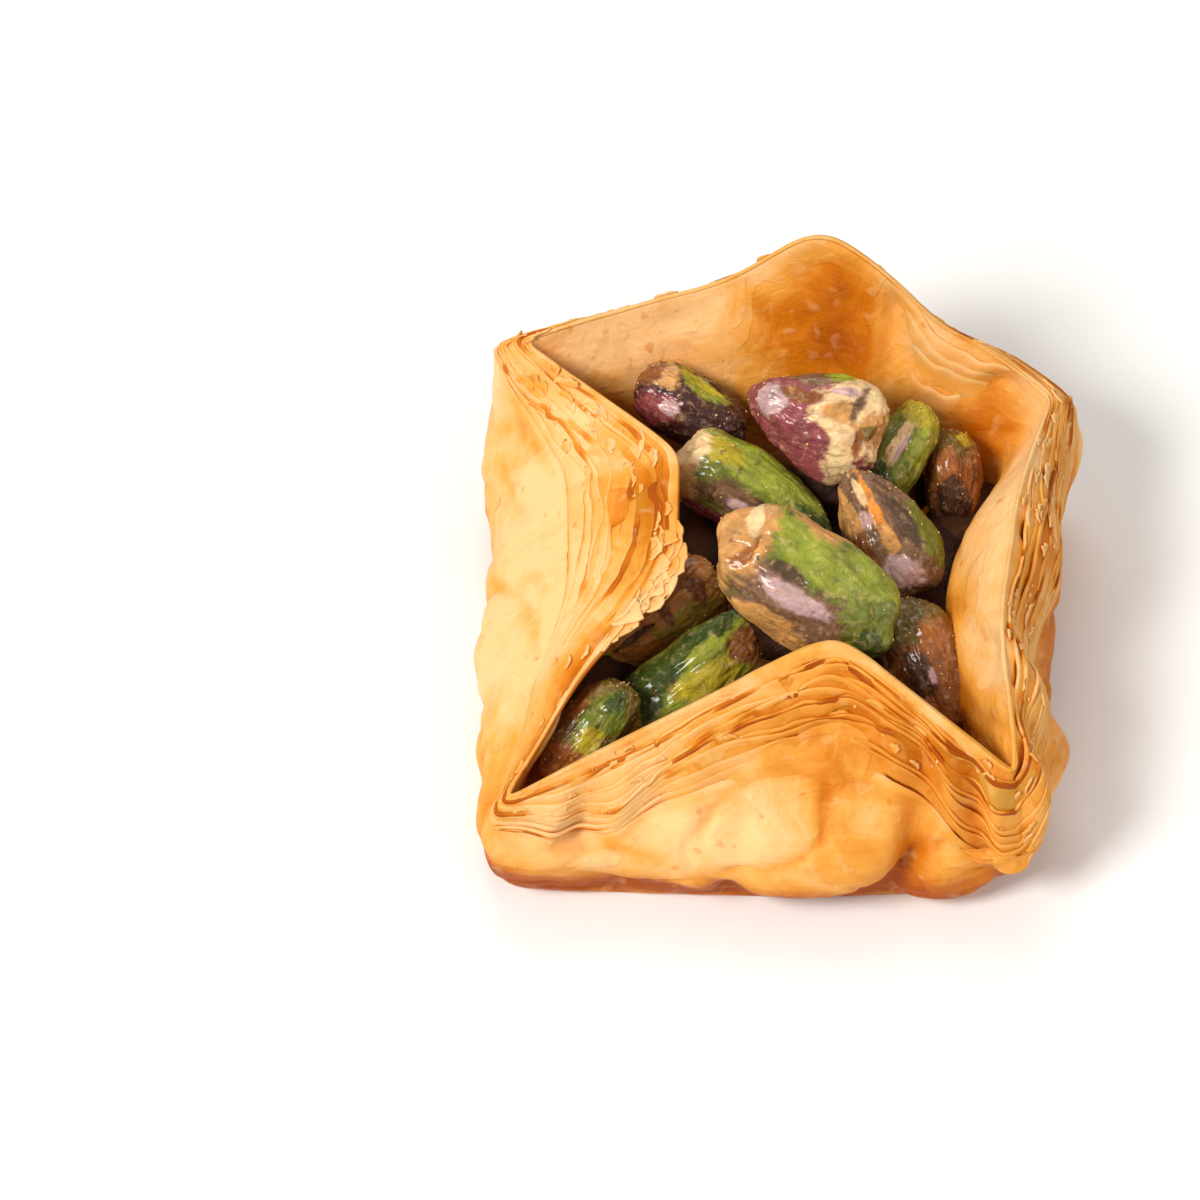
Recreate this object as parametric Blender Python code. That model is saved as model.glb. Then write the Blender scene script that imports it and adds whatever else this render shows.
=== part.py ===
"""A square basket of layered pastry, its four corners folded up round a heap of pistachio kernels.

Units are metres, +Z is up, the basket rests on Z = 0 and the origin is under the middle of its box.
The basket's sides run front, right, back, left, anticlockwise from above, and the front faces -Y.
"""

import math

import bmesh
import bpy
import numpy as np
from mathutils import Euler, Matrix, Vector, noise
from mathutils.bvhtree import BVHTree

MM = 0.001

# How finely the solids are divided
PERIMETER_STEPS = 104
LAYER_STEPS = 7
KERNEL_SEGMENTS = 16
KERNEL_RINGS = 11
BED_STEPS = 60
BED_RINGS = 12

# The gap kept between neighbouring solids
CLEARANCE = 0.35 * MM

# The four sides: the outward direction of each
OUTWARD = np.array([(0, -1), (1, 0), (0, 1), (-1, 0)], float)

# Where each side's flap has its point, from 0 at its first corner to 1 at its second,
# how wide its blunt tip is, and how rounded the point is
PEAK_AT = (0.63, 0.50, 0.44, 0.43)
PEAK_BLUNT = (0.02, 0.10, 0.03, 0.20)
PEAK_ROUND = (0.10, 0.35, 0.14, 0.14)

# Rings of the pastry, in millimetres. Corners are (x, y, z) from the front left one,
# anticlockwise. Peaks are (distance out from the middle, z) at each side's point.
BASE_EDGE = {
    "corners": ((-20.6, -20.6, 0.0), (18.8, -19.4, 0.0), (20.6, 19.6, 0.0), (-19.6, 20.4, 0.0)),
    "peaks": ((21.2, 0.0), (21.2, 0.0), (21.6, 0.0), (21.2, 0.0)),
}
BASE_ROUND = {
    "corners": ((-22.6, -22.4, 2.6), (20.4, -20.8, 2.8), (22.6, 21.4, 2.8), (-21.6, 22.4, 2.8)),
    "peaks": ((22.9, 2.4), (23.0, 2.6), (23.6, 2.6), (23.0, 2.6)),
}
BULGE = {
    "corners": ((-24.0, -23.6, 7.4), (22.6, -21.0, 8.2), (25.4, 21.6, 9.0), (-23.2, 23.4, 9.6)),
    "peaks": ((22.6, 7.4), (23.2, 8.0), (26.2, 9.0), (23.0, 8.0)),
}
OUTER_RIM = {
    "corners": ((-22.2, -22.4, 10.0), (21.8, -21.0, 10.6), (24.4, 20.8, 12.2), (-22.6, 22.8, 14.2)),
    "peaks": ((16.3, 13.3), (23.9, 13.5), (29.0, 17.6), (16.8, 15.0)),
}
INNER_RIM = {
    "corners": ((-20.4, -20.8, 12.0), (19.2, -18.6, 14.0), (21.6, 19.2, 15.0), (-21.0, 21.0, 17.2)),
    "peaks": ((10.5, 20.0), (18.3, 19.5), (26.0, 24.6), (8.2, 19.6)),
}
INNER_BELLY = {
    "corners": ((-19.0, -19.2, 7.6), (18.0, -17.4, 8.6), (19.4, 18.2, 9.6), (-19.2, 19.2, 9.6)),
    "peaks": ((18.2, 10.6), (14.0, 12.4), (20.6, 13.0), (18.4, 11.0)),
}
INNER_FLOOR = {
    "corners": ((-17.0, -17.2, 3.8), (16.0, -16.0, 3.8), (16.6, 16.4, 3.8), (-16.6, 17.0, 3.8)),
    "peaks": ((17.4, 3.8), (15.6, 3.8), (17.6, 3.8), (17.4, 3.8)),
}
FLOOR_LEVEL = 3.8 * MM
CORNER_SOFTNESS = {
    "base": 0.085,
    "wall": 0.060,
    "rim": 0.030,
}

# Dents and lifts of single rings: side, place along it, spread, then how far out and up,
# in millimetres. They give each flap the slumps and shoulders of hand-folded pastry.
DENTS = {
    "base_round": ((0, 0.55, 0.05, -0.5, 0.4), (2, 0.30, 0.08, -0.6, 0.0), (3, 0.60, 0.07, -0.5, 0.3)),
    "bulge": (
        (0, 0.26, 0.08, -0.5, 0.0),
        (0, 0.79, 0.05, -1.3, 0.0),
        (1, 0.34, 0.10, -1.9, 0.0),
        (2, 0.24, 0.06, -1.2, 0.0),
        (2, 0.70, 0.08, -0.8, 0.0),
        (3, 0.30, 0.08, -0.7, 0.0),
    ),
    "outer_rim": (
        (0, 0.20, 0.09, 0.5, -3.0),
        (0, 0.89, 0.06, 0.6, -3.4),
        (1, 0.34, 0.12, -2.0, -0.4),
        (2, 0.20, 0.06, -0.6, -1.6),
        (2, 0.70, 0.10, 0.0, -1.4),
        (3, 0.80, 0.08, 0.4, -1.6),
    ),
    "inner_rim": (
        (1, 0.30, 0.10, -0.5, -0.6),
        (2, 0.21, 0.06, -0.4, -1.5),
        (2, 0.66, 0.10, 0.0, -1.3),
        (3, 0.78, 0.08, 0.8, 0.4),
    ),
    "inner_belly": ((1, 0.34, 0.12, 1.8, 0.0), (1, 0.84, 0.08, 0.8, 0.0)),
}

# The stepped edges of the pastry layers, between the outer and the inner rim: how high each
# step is, how far it strays from its place, as a share of a layer, and how wide its riser is,
# as a share of the band. WAVINESS is how many waves a metre holds.
STEP_HEIGHT = 0.62 * MM
STEP_WANDER = 0.26
RISER = 0.024
STEP_WAVINESS = 90.0
WALL_RIPPLE = 0.42 * MM
WALL_WAVINESS = 140.0

# The kernels that show, in millimetres and degrees: where each is seen in the plane at
# SEEN_HEIGHT, its own height, its length, width and thickness, then how it is turned as seen,
# tilted towards the eye and rolled, and the colour of its skin. A kernel turned by 0 has its
# tapered end to the right.
# From there they settle clear of each other and of the pastry, mostly along the line of sight.
SEEN_HEIGHT = 12.0
SIGHT_ELEVATION = 55.0
KERNELS = {
    "pistachio_middle": ((2.9, 0.7), 16.0, (15.8, 9.0, 7.4), (-31, 0, 0), "green"),
    "pistachio_back_left": ((-2.0, 11.2), 12.4, (13.8, 6.8, 6.0), (-28, -3, 0), "green"),
    "pistachio_back_middle": ((2.7, 16.2), 15.0, (11.4, 7.2, 6.2), (-14, 0, 0), "purple"),
    "pistachio_back_corner": ((-7.6, 18.4), 14.6, (9.8, 5.6, 5.6), (-28, 0, 0), "purple"),
    "pistachio_right": ((8.4, 6.7), 12.0, (10.8, 7.2, 6.0), (-62, 0, 0), "brown"),
    "pistachio_right_back": ((9.8, 15.0), 12.4, (8.8, 5.2, 4.8), (62, 6, 0), "green"),
    "pistachio_far_right": ((13.2, 13.5), 10.0, (8.4, 5.0, 5.2), (94, 0, 0), "brown"),
    "pistachio_right_front": ((12.2, -5.6), 8.8, (10.6, 5.8, 5.2), (-64, 0, 0), "brown"),
    "pistachio_left": ((-9.1, -3.0), 10.4, (12.2, 6.2, 5.6), (218, -6, 0), "brown"),
    "pistachio_left_front": ((-6.9, -8.2), 8.6, (13.8, 6.0, 5.4), (220, 0, 0), "green"),
    "pistachio_front_corner": ((-13.9, -13.9), 6.4, (9.4, 4.8, 4.4), (232, 0, 0), "green"),
}

# How they settle: the rounds, the last of them without the pull back to where each is seen,
# the gaps kept, the share of a push that may go sideways, and how far one round moves a kernel
SETTLE_ROUNDS = 240
ROUNDS_WITH_PULL = 190
PULL_BACK = 0.03
SETTLE_GAP = 0.42 * MM
FLOOR_GAP = 1.80 * MM
SIDEWAYS_SHARE = 0.30
PUSH_SHARE = 0.3
MOST_STEP = 0.15 * MM
BALL_PLACES = (-0.80, -0.45, 0.0, 0.45, 0.80)

# A kernel's form: how full its ends are, where 2 is an ellipse, how much it narrows towards
# its tapered end, how flat it is behind, and its seam and its lumps
KERNEL_FULLNESS = 2.35
KERNEL_TAPER = 0.15
KERNEL_FLATNESS = 0.86
KERNEL_SEAM_DEPTH = 0.30 * MM
KERNEL_SEAM_WIDTH = 0.20
KERNEL_LUMP = 0.30 * MM
KERNEL_LUMPINESS = 1.6

# The kernels further down, which show as bumps on the bed: centre x, y, top z, length, width, yaw
BED_LUMPS = (
    (2.6, -3.6, 13.6, 15.0, 9.0, -20),
    (3.0, 13.4, 14.0, 12.0, 8.0, 0),
    (-6.0, 6.8, 12.0, 13.0, 7.4, 70),
    (8.4, -2.6, 10.6, 12.0, 7.2, 20),
    (12.6, 4.8, 10.8, 13.0, 7.0, 84),
    (-12.4, 6.4, 10.4, 14.0, 7.6, 100),
    (-13.0, -4.0, 9.2, 12.0, 7.2, 75),
    (1.4, -12.6, 9.6, 14.0, 7.6, 8),
    (12.8, -12.4, 8.8, 12.0, 7.2, 130),
    (-7.0, -14.0, 8.6, 12.0, 7.0, -10),
    (3.6, 5.6, 12.6, 12.0, 7.4, 40),
    (-14.0, 14.2, 11.2, 12.0, 7.2, 140),
    (15.0, 11.0, 9.6, 11.0, 6.6, 60),
    (6.0, 14.6, 11.2, 12.0, 7.0, -5),
)
BED_LEVEL = 6.8 * MM
BED_INSET = 1.1 * MM

# The gap from the bed up to what lies on it, which is looked for straight up and in a ring round
ROOF_GAP = 0.55 * MM
ROOF_REACH = 1.1 * MM
ROOF_LOOKS = 8

PASTRY_COLOUR = (0.76, 0.45, 0.16, 1.0)
BED_COLOUR = (0.12, 0.06, 0.02, 1.0)
KERNEL_COLOURS = {
    "green": (0.24, 0.33, 0.06, 1.0),
    "purple": (0.24, 0.09, 0.11, 1.0),
    "brown": (0.26, 0.14, 0.05, 1.0),
}
PASTRY_ROUGHNESS = 0.5
NUT_ROUGHNESS = 0.3


def clear_scene():
    for obj in list(bpy.data.objects):
        bpy.data.objects.remove(obj, do_unlink=True)


def new_material(name, colour, roughness):
    material = bpy.data.materials.new(name)
    material.use_nodes = True
    shader = material.node_tree.nodes["Principled BSDF"]
    shader.inputs["Base Color"].default_value = colour
    shader.inputs["Roughness"].default_value = roughness
    shader.inputs["Metallic"].default_value = 0.0
    return material


def new_object(name, mesh, material, collection):
    obj = bpy.data.objects.new(name, mesh)
    obj.data.materials.append(material)
    collection.objects.link(obj)
    return obj


def flap_shape(side, along):
    """1 at the point of a side's flap, falling in two nearly straight slopes to 0 at its corners."""
    peak, blunt, rounding = PEAK_AT[side], PEAK_BLUNT[side], PEAK_ROUND[side]
    reach = np.where(along < peak, peak, 1 - peak)
    away = np.clip((np.abs(along - peak) - blunt / 2) / (reach - blunt / 2), 0, 1)
    fall = (np.sqrt(away**2 + rounding**2) - rounding) / (math.sqrt(1 + rounding**2) - rounding)
    return 1 - fall


def soften(ring, softness, steps):
    """The closed ring averaged along itself, which rounds its corners."""
    if softness <= 0:
        return ring
    distance = np.arange(steps)
    distance = np.minimum(distance, steps - distance) * 4.0 / steps
    weights = np.exp(-0.5 * (distance / softness) ** 2)
    weights /= weights.sum()
    spectrum = np.fft.rfft(weights)[:, None] * np.fft.rfft(ring, axis=0)
    return np.fft.irfft(spectrum, steps, axis=0)


def pastry_ring(ring, softness, dents=(), steps=PERIMETER_STEPS):
    """One closed line round the pastry: straight from corner to corner, drawn out or in at each flap."""
    place = np.arange(steps) * 4.0 / steps
    side = place.astype(int)
    along = place - side
    corners = np.array(ring["corners"], float)
    first, second = corners[side], corners[(side + 1) % 4]
    line = first + (second - first) * along[:, None]
    for number in range(4):
        here = side == number
        shape = flap_shape(number, along[here])
        peak_out, peak_z = ring["peaks"][number]
        start, end = corners[number], corners[(number + 1) % 4]
        at_peak = start + (end - start) * PEAK_AT[number]
        line[here, :2] += OUTWARD[number] * (shape * (peak_out - at_peak[:2] @ OUTWARD[number]))[:, None]
        line[here, 2] += shape * (peak_z - at_peak[2])
    for number, centre, spread, out, up in dents:
        away = np.abs(place - number - centre)
        away = np.minimum(away, 4 - away)
        swell = np.exp(-0.5 * (away / spread) ** 2)[:, None]
        line[:, :2] += swell * OUTWARD[number] * out
        line[:, 2:] += swell * up
    return soften(line, softness, steps) * MM


def through(rings, count):
    """Rings along a smooth curve through the given ones, count steps between each pair."""
    padded = [2 * rings[0] - rings[1], *rings, 2 * rings[-1] - rings[-2]]
    made = []
    for before, start, end, after in zip(padded, padded[1:], padded[2:], padded[3:]):
        for step in range(count):
            t = step / count
            made.append(
                0.5
                * (
                    2 * start
                    + (end - before) * t
                    + (2 * before - 5 * start + 4 * end - after) * t**2
                    + (3 * start - before - 3 * end + after) * t**3
                )
            )
    return [*made, rings[-1]]


def outward_normals(ring_below, ring, ring_above):
    """The direction out of the surface at each point of a ring, from its neighbours."""
    around = np.roll(ring, -1, axis=0) - np.roll(ring, 1, axis=0)
    up = ring_above - ring_below
    normal = np.cross(around, up)
    return normal / np.linalg.norm(normal, axis=1)[:, None]


def waves_along(ring, waviness, seed):
    """Soft uneven waves between -1 and 1 along a ring, one value for each of its points."""
    start = Vector((0, seed, 0))
    return np.array([noise.noise(Vector(point) * waviness + start) for point in ring])


def layer_rings(outer_rim, inner_rim):
    """Rings up the cut edge from the outer rim to the inner one, a low step at each layer."""
    band = inner_rim - outer_rim
    normal = outward_normals(outer_rim, (outer_rim + inner_rim) / 2, inner_rim)
    rings = []
    for layer in range(LAYER_STEPS):
        wander = waves_along(outer_rim, STEP_WAVINESS, 7.3 * layer)
        share = (layer + 0.5 + wander * STEP_WANDER) / LAYER_STEPS
        rise = normal * (STEP_HEIGHT / 2 * (1 + 0.5 * wander))[:, None]
        lip = outer_rim + band * (share - RISER / 2)[:, None] + rise
        foot = outer_rim + band * (share + RISER / 2)[:, None] - rise
        rings += [lip, foot]
    return rings


def pastry_rings():
    """All the rings of the basket, from under its middle, up the outside and down the inside."""
    base_edge = pastry_ring(BASE_EDGE, CORNER_SOFTNESS["base"])
    base_round = pastry_ring(BASE_ROUND, CORNER_SOFTNESS["base"], DENTS["base_round"])
    bulge = pastry_ring(BULGE, CORNER_SOFTNESS["wall"], DENTS["bulge"])
    outer_rim = pastry_ring(OUTER_RIM, CORNER_SOFTNESS["rim"], DENTS["outer_rim"])
    inner_rim = pastry_ring(INNER_RIM, CORNER_SOFTNESS["rim"], DENTS["inner_rim"])
    inner_belly = pastry_ring(INNER_BELLY, CORNER_SOFTNESS["wall"], DENTS["inner_belly"])
    inner_floor = pastry_ring(INNER_FLOOR, CORNER_SOFTNESS["base"])
    outside = through([base_edge, base_round, bulge, outer_rim], 2)
    for number in range(2, len(outside) - 1):
        normal = outward_normals(outside[number - 1], outside[number], outside[number + 1])
        ripple = waves_along(outside[number], WALL_WAVINESS, 0.0) * WALL_RIPPLE
        outside[number] = outside[number] + normal * ripple[:, None]
    inside = through([inner_rim, inner_belly, inner_floor], 2)
    return [*outside, *layer_rings(outer_rim, inner_rim), *inside]


def lofted_mesh(name, rings):
    """A closed skin over rings of equal count, with a point in the middle of the first and last."""
    count = len(rings[0])
    points = [rings[0].mean(axis=0), *np.concatenate(rings), rings[-1].mean(axis=0)]
    last = len(points) - 1
    faces = []
    for step in range(count):
        following = (step + 1) % count
        faces.append((0, 1 + following, 1 + step))
        top = 1 + (len(rings) - 1) * count
        faces.append((last, top + step, top + following))
        for row in range(len(rings) - 1):
            low = 1 + row * count
            high = low + count
            faces.append((low + step, low + following, high + following, high + step))
    mesh = bpy.data.meshes.new(name)
    mesh.from_pydata([tuple(p) for p in points], [], faces)
    work = bmesh.new()
    work.from_mesh(mesh)
    bmesh.ops.triangulate(work, faces=work.faces)
    work.to_mesh(mesh)
    work.free()
    return mesh


def kernel_girth(place):
    """How wide a kernel is at a place along it, from -1 to 1, as a share of its full width."""
    fullness = (1 - min(abs(place), 1.0) ** KERNEL_FULLNESS) ** (1 / KERNEL_FULLNESS)
    return fullness * (1 - KERNEL_TAPER * place)


def kernel_mesh(name, size, seed):
    """A pistachio kernel along X: blunt behind, tapered in front, with its seam down one edge."""
    length, width, thickness = (value * MM for value in size)
    work = bmesh.new()
    bmesh.ops.create_uvsphere(work, u_segments=KERNEL_SEGMENTS, v_segments=KERNEL_RINGS, radius=1.0)
    bmesh.ops.rotate(work, verts=work.verts, matrix=Matrix.Rotation(math.pi / 2, 3, "Y"))
    for vert in work.verts:
        x, y, z = vert.co
        roundness = math.sqrt(max(1 - x * x, 0))
        girth = kernel_girth(x) / roundness if roundness > 0.01 else 1.0
        seam = math.exp(-((z / KERNEL_SEAM_WIDTH) ** 2)) * max(y, 0) ** 2
        lump = noise.noise(vert.co * KERNEL_LUMPINESS + Vector((0, 0, 5.1 * seed)))
        outward = Vector((0.3 * x, y, z)).normalized()
        flatness = KERNEL_FLATNESS if z < 0 else 1.0
        form = Vector((x * length, y * width * girth, z * thickness * girth * flatness)) / 2
        vert.co = form + outward * (lump * KERNEL_LUMP - seam * KERNEL_SEAM_DEPTH)
    bmesh.ops.triangulate(work, faces=work.faces)
    mesh = bpy.data.meshes.new(name)
    work.to_mesh(mesh)
    work.free()
    return mesh


def tree_of(mesh):
    points = [vert.co for vert in mesh.vertices]
    return BVHTree.FromPolygons(points, [tuple(face.vertices) for face in mesh.polygons])


def sight_line():
    """The direction up from the heap to the eye."""
    angle = math.radians(SIGHT_ELEVATION)
    return np.array((0.0, -math.cos(angle), math.sin(angle)))


def kernel_centre(seen, height):
    """The kernel's centre at its own height, on the line of sight through the place where it is seen."""
    sight = sight_line()
    rise = (height - SEEN_HEIGHT) / sight[2]
    return Vector((seen[0], seen[1] + sight[1] * rise, height)) * MM


def kernel_turn(angles):
    """The rotation of a kernel whose flat side faces the eye, turned as seen, tilted and rolled."""
    turned, tilt, roll = (math.radians(angle) for angle in angles)
    sight = Vector(sight_line())
    right = Vector((1, 0, 0))
    facing = Matrix((right, sight.cross(right), sight)).transposed()
    return facing @ Euler((roll, -tilt, turned), "XYZ").to_matrix()


def kernel_balls(centre, size, turn):
    """Balls that fill a kernel, two at each place along it: their centres and radii."""
    length, width, thickness = (value * MM / 2 for value in size)
    centres, radii = [], []
    for place in BALL_PLACES:
        girth = kernel_girth(place)
        radius = thickness * girth
        spread = (width - thickness) * girth
        for side in (-1, 1):
            centres.append(turn @ Vector((place * length, side * spread, 0)) + centre)
            radii.append(radius)
    return np.array(centres), np.array(radii)


def settled_offsets(heap, pastry):
    """How far each kernel moves so that all are clear of each other and of the pastry."""
    tree = tree_of(pastry)
    sight = sight_line()
    lowest = FLOOR_LEVEL + FLOOR_GAP
    offsets = np.zeros((len(heap), 3))
    for turn in range(SETTLE_ROUNDS):
        moves = np.zeros_like(offsets)
        for number, (centres, radii) in enumerate(heap):
            here = centres + offsets[number]
            for point, radius in zip(here, radii):
                near, _, _, distance = tree.find_nearest(Vector(point))
                away = (point - np.array(near)) / max(distance, 1e-9)
                moves[number] += away * max(radius + SETTLE_GAP - distance, 0)
                moves[number][2] += max(lowest + radius - point[2], 0)
            for other in range(number + 1, len(heap)):
                there = heap[other][0] + offsets[other]
                apart = here[:, None] - there[None]
                distance = np.linalg.norm(apart, axis=2)
                reach = radii[:, None] + heap[other][1][None] + SETTLE_GAP
                push = np.clip(reach - distance, 0, None) / np.maximum(distance, 1e-9)
                shove = (apart * push[:, :, None]).sum(axis=(0, 1))
                moves[number] += shove * 0.5
                moves[other] -= shove * 0.5
        along = (moves @ sight)[:, None] * sight
        moves = along + (moves - along) * SIDEWAYS_SHARE
        offsets += np.clip(moves * PUSH_SHARE, -MOST_STEP, MOST_STEP)
        if turn < ROUNDS_WITH_PULL:
            aside = offsets - (offsets @ sight)[:, None] * sight
            offsets -= aside * PULL_BACK
    return offsets


def bed_height(x, y, roof):
    """The bed's top at a place: its lumps, kept under the kernels and the pastry above."""
    height = BED_LEVEL
    for centre_x, centre_y, top, length, width, yaw in BED_LUMPS:
        turn = math.radians(yaw)
        dx, dy = x - centre_x * MM, y - centre_y * MM
        along = (dx * math.cos(turn) + dy * math.sin(turn)) / (length * MM / 2)
        across = (dy * math.cos(turn) - dx * math.sin(turn)) / (width * MM / 2)
        inside = 1 - along**2 - across**2
        if inside > 0:
            height = max(height, top * MM - width * MM / 2 * (1 - math.sqrt(inside)))
    looks = [Vector((x, y, FLOOR_LEVEL + CLEARANCE))]
    for number in range(ROOF_LOOKS):
        aside = Matrix.Rotation(number * math.tau / ROOF_LOOKS, 3, "Z") @ Vector((ROOF_REACH, 0, 0))
        looks.append(looks[0] + aside)
    for tree in roof:
        for look in looks:
            hit = tree.ray_cast(look, Vector((0, 0, 1)))[0]
            if hit:
                height = min(height, hit.z - ROOF_GAP)
    return max(height, FLOOR_LEVEL + 2 * CLEARANCE)


def bed_mesh(name, meshes, pastry):
    """The heap under the kernels, as a field of heights inside the basket."""
    outline = pastry_ring(INNER_FLOOR, CORNER_SOFTNESS["base"], (), BED_STEPS)[:, :2]
    middle = outline.mean(axis=0)
    reach = np.linalg.norm(outline - middle, axis=1)[:, None]
    outline -= (outline - middle) / reach * BED_INSET
    roof = [tree_of(mesh) for mesh in [*meshes, pastry]]
    underside = np.full((BED_STEPS, 1), FLOOR_LEVEL + CLEARANCE)
    rings = [
        np.hstack([(outline + middle) / 2, underside]),
        np.hstack([outline, underside]),
    ]
    for number in range(BED_RINGS):
        places = outline + (middle - outline) * number / BED_RINGS
        heights = [[bed_height(x, y, roof)] for x, y in places]
        rings.append(np.hstack([places, heights]))
    return lofted_mesh(name, rings)


def main():
    clear_scene()
    collection = bpy.data.collections.new("baklava_basket")
    bpy.context.scene.collection.children.link(collection)

    pastry_material = new_material("layered_pastry", PASTRY_COLOUR, PASTRY_ROUGHNESS)
    bed_material = new_material("nut_bed", BED_COLOUR, NUT_ROUGHNESS)
    kernel_materials = {
        skin: new_material(f"{skin}_kernel", colour, NUT_ROUGHNESS)
        for skin, colour in KERNEL_COLOURS.items()
    }

    pastry = lofted_mesh("pastry_basket", pastry_rings())
    turns = [kernel_turn(angles) for _, _, _, angles, _ in KERNELS.values()]
    centres = [kernel_centre(seen, height) for seen, height, _, _, _ in KERNELS.values()]
    sizes = [size for _, _, size, _, _ in KERNELS.values()]
    heap = [kernel_balls(*kernel) for kernel in zip(centres, sizes, turns)]
    offsets = settled_offsets(heap, pastry)
    kernels = []
    for number, name in enumerate(KERNELS):
        mesh = kernel_mesh(name, sizes[number], number)
        place = centres[number] + Vector(offsets[number])
        mesh.transform(Matrix.Translation(place) @ turns[number].to_4x4())
        kernels.append(mesh)
    bed = bed_mesh("pistachio_bed", kernels, pastry)

    corners = np.array([vert.co for vert in pastry.vertices])
    middle = (corners.min(axis=0) + corners.max(axis=0)) / 2
    to_origin = Matrix.Translation((-middle[0], -middle[1], -corners[:, 2].min()))
    for mesh in [pastry, bed, *kernels]:
        mesh.transform(to_origin)

    new_object("pastry_basket", pastry, pastry_material, collection)
    new_object("pistachio_bed", bed, bed_material, collection)
    for (name, (*_, skin)), mesh in zip(KERNELS.items(), kernels):
        mesh.shade_smooth()
        new_object(name, mesh, kernel_materials[skin], collection)


main()
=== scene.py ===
"""Looks for a square basket of layered filo pastry, folded up round a heap of glazed pistachio kernels.

Metres, +Z up. The basket's sides run front, right, back, left, anticlockwise from above, and the
front faces -Y. A place round the basket is a number from 0 to 4: its whole part is the side, and the
rest is how far along that side it lies. A share goes from 0 at the low edge of a wall to 1 at its high
edge, or from the outer rim to the inner one.
"""

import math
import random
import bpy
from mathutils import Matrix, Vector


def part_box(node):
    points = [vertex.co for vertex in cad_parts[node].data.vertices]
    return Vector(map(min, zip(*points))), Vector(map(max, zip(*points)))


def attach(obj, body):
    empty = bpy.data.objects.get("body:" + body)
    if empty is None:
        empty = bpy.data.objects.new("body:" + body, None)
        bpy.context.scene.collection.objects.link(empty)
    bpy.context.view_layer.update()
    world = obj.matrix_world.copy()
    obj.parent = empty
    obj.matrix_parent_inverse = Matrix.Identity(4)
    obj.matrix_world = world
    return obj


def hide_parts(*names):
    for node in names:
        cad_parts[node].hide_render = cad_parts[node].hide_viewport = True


bl_info = {
    "name": "Baklava Basket",
    "version": (1, 0, 0),
    "blender": (4, 5, 0),
    "location": "View3D > Sidebar > Baklava",
    "description": "Dresses a baklava basket: filo walls, cut layers, flakes, glazed kernels and studio",
    "category": "Object",
}

import bmesh
import bpy
import numpy as np
from bpy.props import FloatProperty, FloatVectorProperty, IntProperty, PointerProperty
from mathutils import Matrix, Vector, noise

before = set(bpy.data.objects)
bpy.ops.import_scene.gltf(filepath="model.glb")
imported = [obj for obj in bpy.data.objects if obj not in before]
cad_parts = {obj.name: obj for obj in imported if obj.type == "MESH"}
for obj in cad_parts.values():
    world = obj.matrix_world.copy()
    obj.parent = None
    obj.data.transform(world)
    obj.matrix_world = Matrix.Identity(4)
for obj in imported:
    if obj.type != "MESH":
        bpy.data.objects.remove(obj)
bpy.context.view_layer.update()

MM = 0.001
BODY = "root"
PASTRY = "pastry_basket"
BED = "pistachio_bed"

# How finely the pastry is divided round its rim, and how long the rim is
SIDES = 4
RIM_STEPS = 840
RIM_LENGTH = 185 * MM
RIM_PLACES = np.arange(RIM_STEPS) * SIDES / RIM_STEPS

# The outward direction of each side
OUTWARD = np.array([(0, -1), (1, 0), (0, 1), (-1, 0)], float)

# Where each side's flap has its point, how wide its blunt tip is, and how rounded the point is
PEAK_AT = (0.63, 0.50, 0.455, 0.43)
PEAK_BLUNT = (0.02, 0.10, 0.02, 0.20)
PEAK_ROUND = (0.05, 0.35, 0.06, 0.07)

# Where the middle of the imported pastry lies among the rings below, in millimetres, and how far the
# rings are moved from there to lie round it
RING_MIDDLE = (0.562, 2.845, 0.0)
PASTRY_LOW, PASTRY_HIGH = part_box(PASTRY)
PACKED_MIDDLE = (*((PASTRY_LOW + PASTRY_HIGH) / 2).xy, PASTRY_LOW.z)
SHIFT = np.array(PACKED_MIDDLE) - np.array(RING_MIDDLE) * MM

# Rings of the pastry, in millimetres. Corners are (x, y, z) from the front left one,
# anticlockwise. Peaks are (distance out from the middle, z) at each side's point.
BASE_EDGE = {
    "corners": ((-21.4, -21.4, 0.0), (18.6, -19.0, 0.0), (20.6, 19.6, 0.0), (-20.2, 20.6, 0.0)),
    "peaks": ((20.6, 0.0), (21.2, 0.0), (21.6, 0.0), (21.4, 0.0)),
}
BASE_ROUND = {
    "corners": ((-22.2, -23.2, 2.6), (20.0, -20.6, 2.8), (22.4, 21.4, 2.8), (-22.4, 22.6, 2.8)),
    "peaks": ((22.2, 2.4), (22.8, 2.6), (23.6, 2.6), (23.2, 2.6)),
}
BULGE = {
    "corners": ((-22.6, -23.6, 7.4), (21.6, -20.8, 8.2), (25.0, 21.6, 9.0), (-25.0, 23.4, 9.8)),
    "peaks": ((22.6, 7.4), (22.8, 8.0), (26.2, 9.0), (23.2, 8.2)),
}
OUTER_RIM = {
    "corners": ((-21.6, -22.4, 10.0), (21.2, -21.0, 10.6), (24.0, 20.8, 12.4), (-24.8, 22.4, 14.2)),
    "peaks": ((16.3, 13.3), (23.2, 13.5), (29.2, 18.2), (16.8, 15.0)),
}
INNER_RIM = {
    "corners": ((-20.2, -20.8, 12.0), (19.2, -18.0, 15.0), (21.6, 19.2, 15.2), (-21.6, 20.8, 17.0)),
    "peaks": ((10.5, 21.0), (18.3, 19.5), (26.9, 25.4), (8.0, 19.6)),
}
INNER_BELLY = {
    "corners": ((-19.0, -19.2, 7.6), (18.0, -17.4, 8.6), (19.4, 18.2, 9.6), (-19.2, 19.2, 9.6)),
    "peaks": ((18.2, 10.6), (14.0, 12.4), (20.6, 13.0), (18.4, 11.0)),
}
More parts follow.
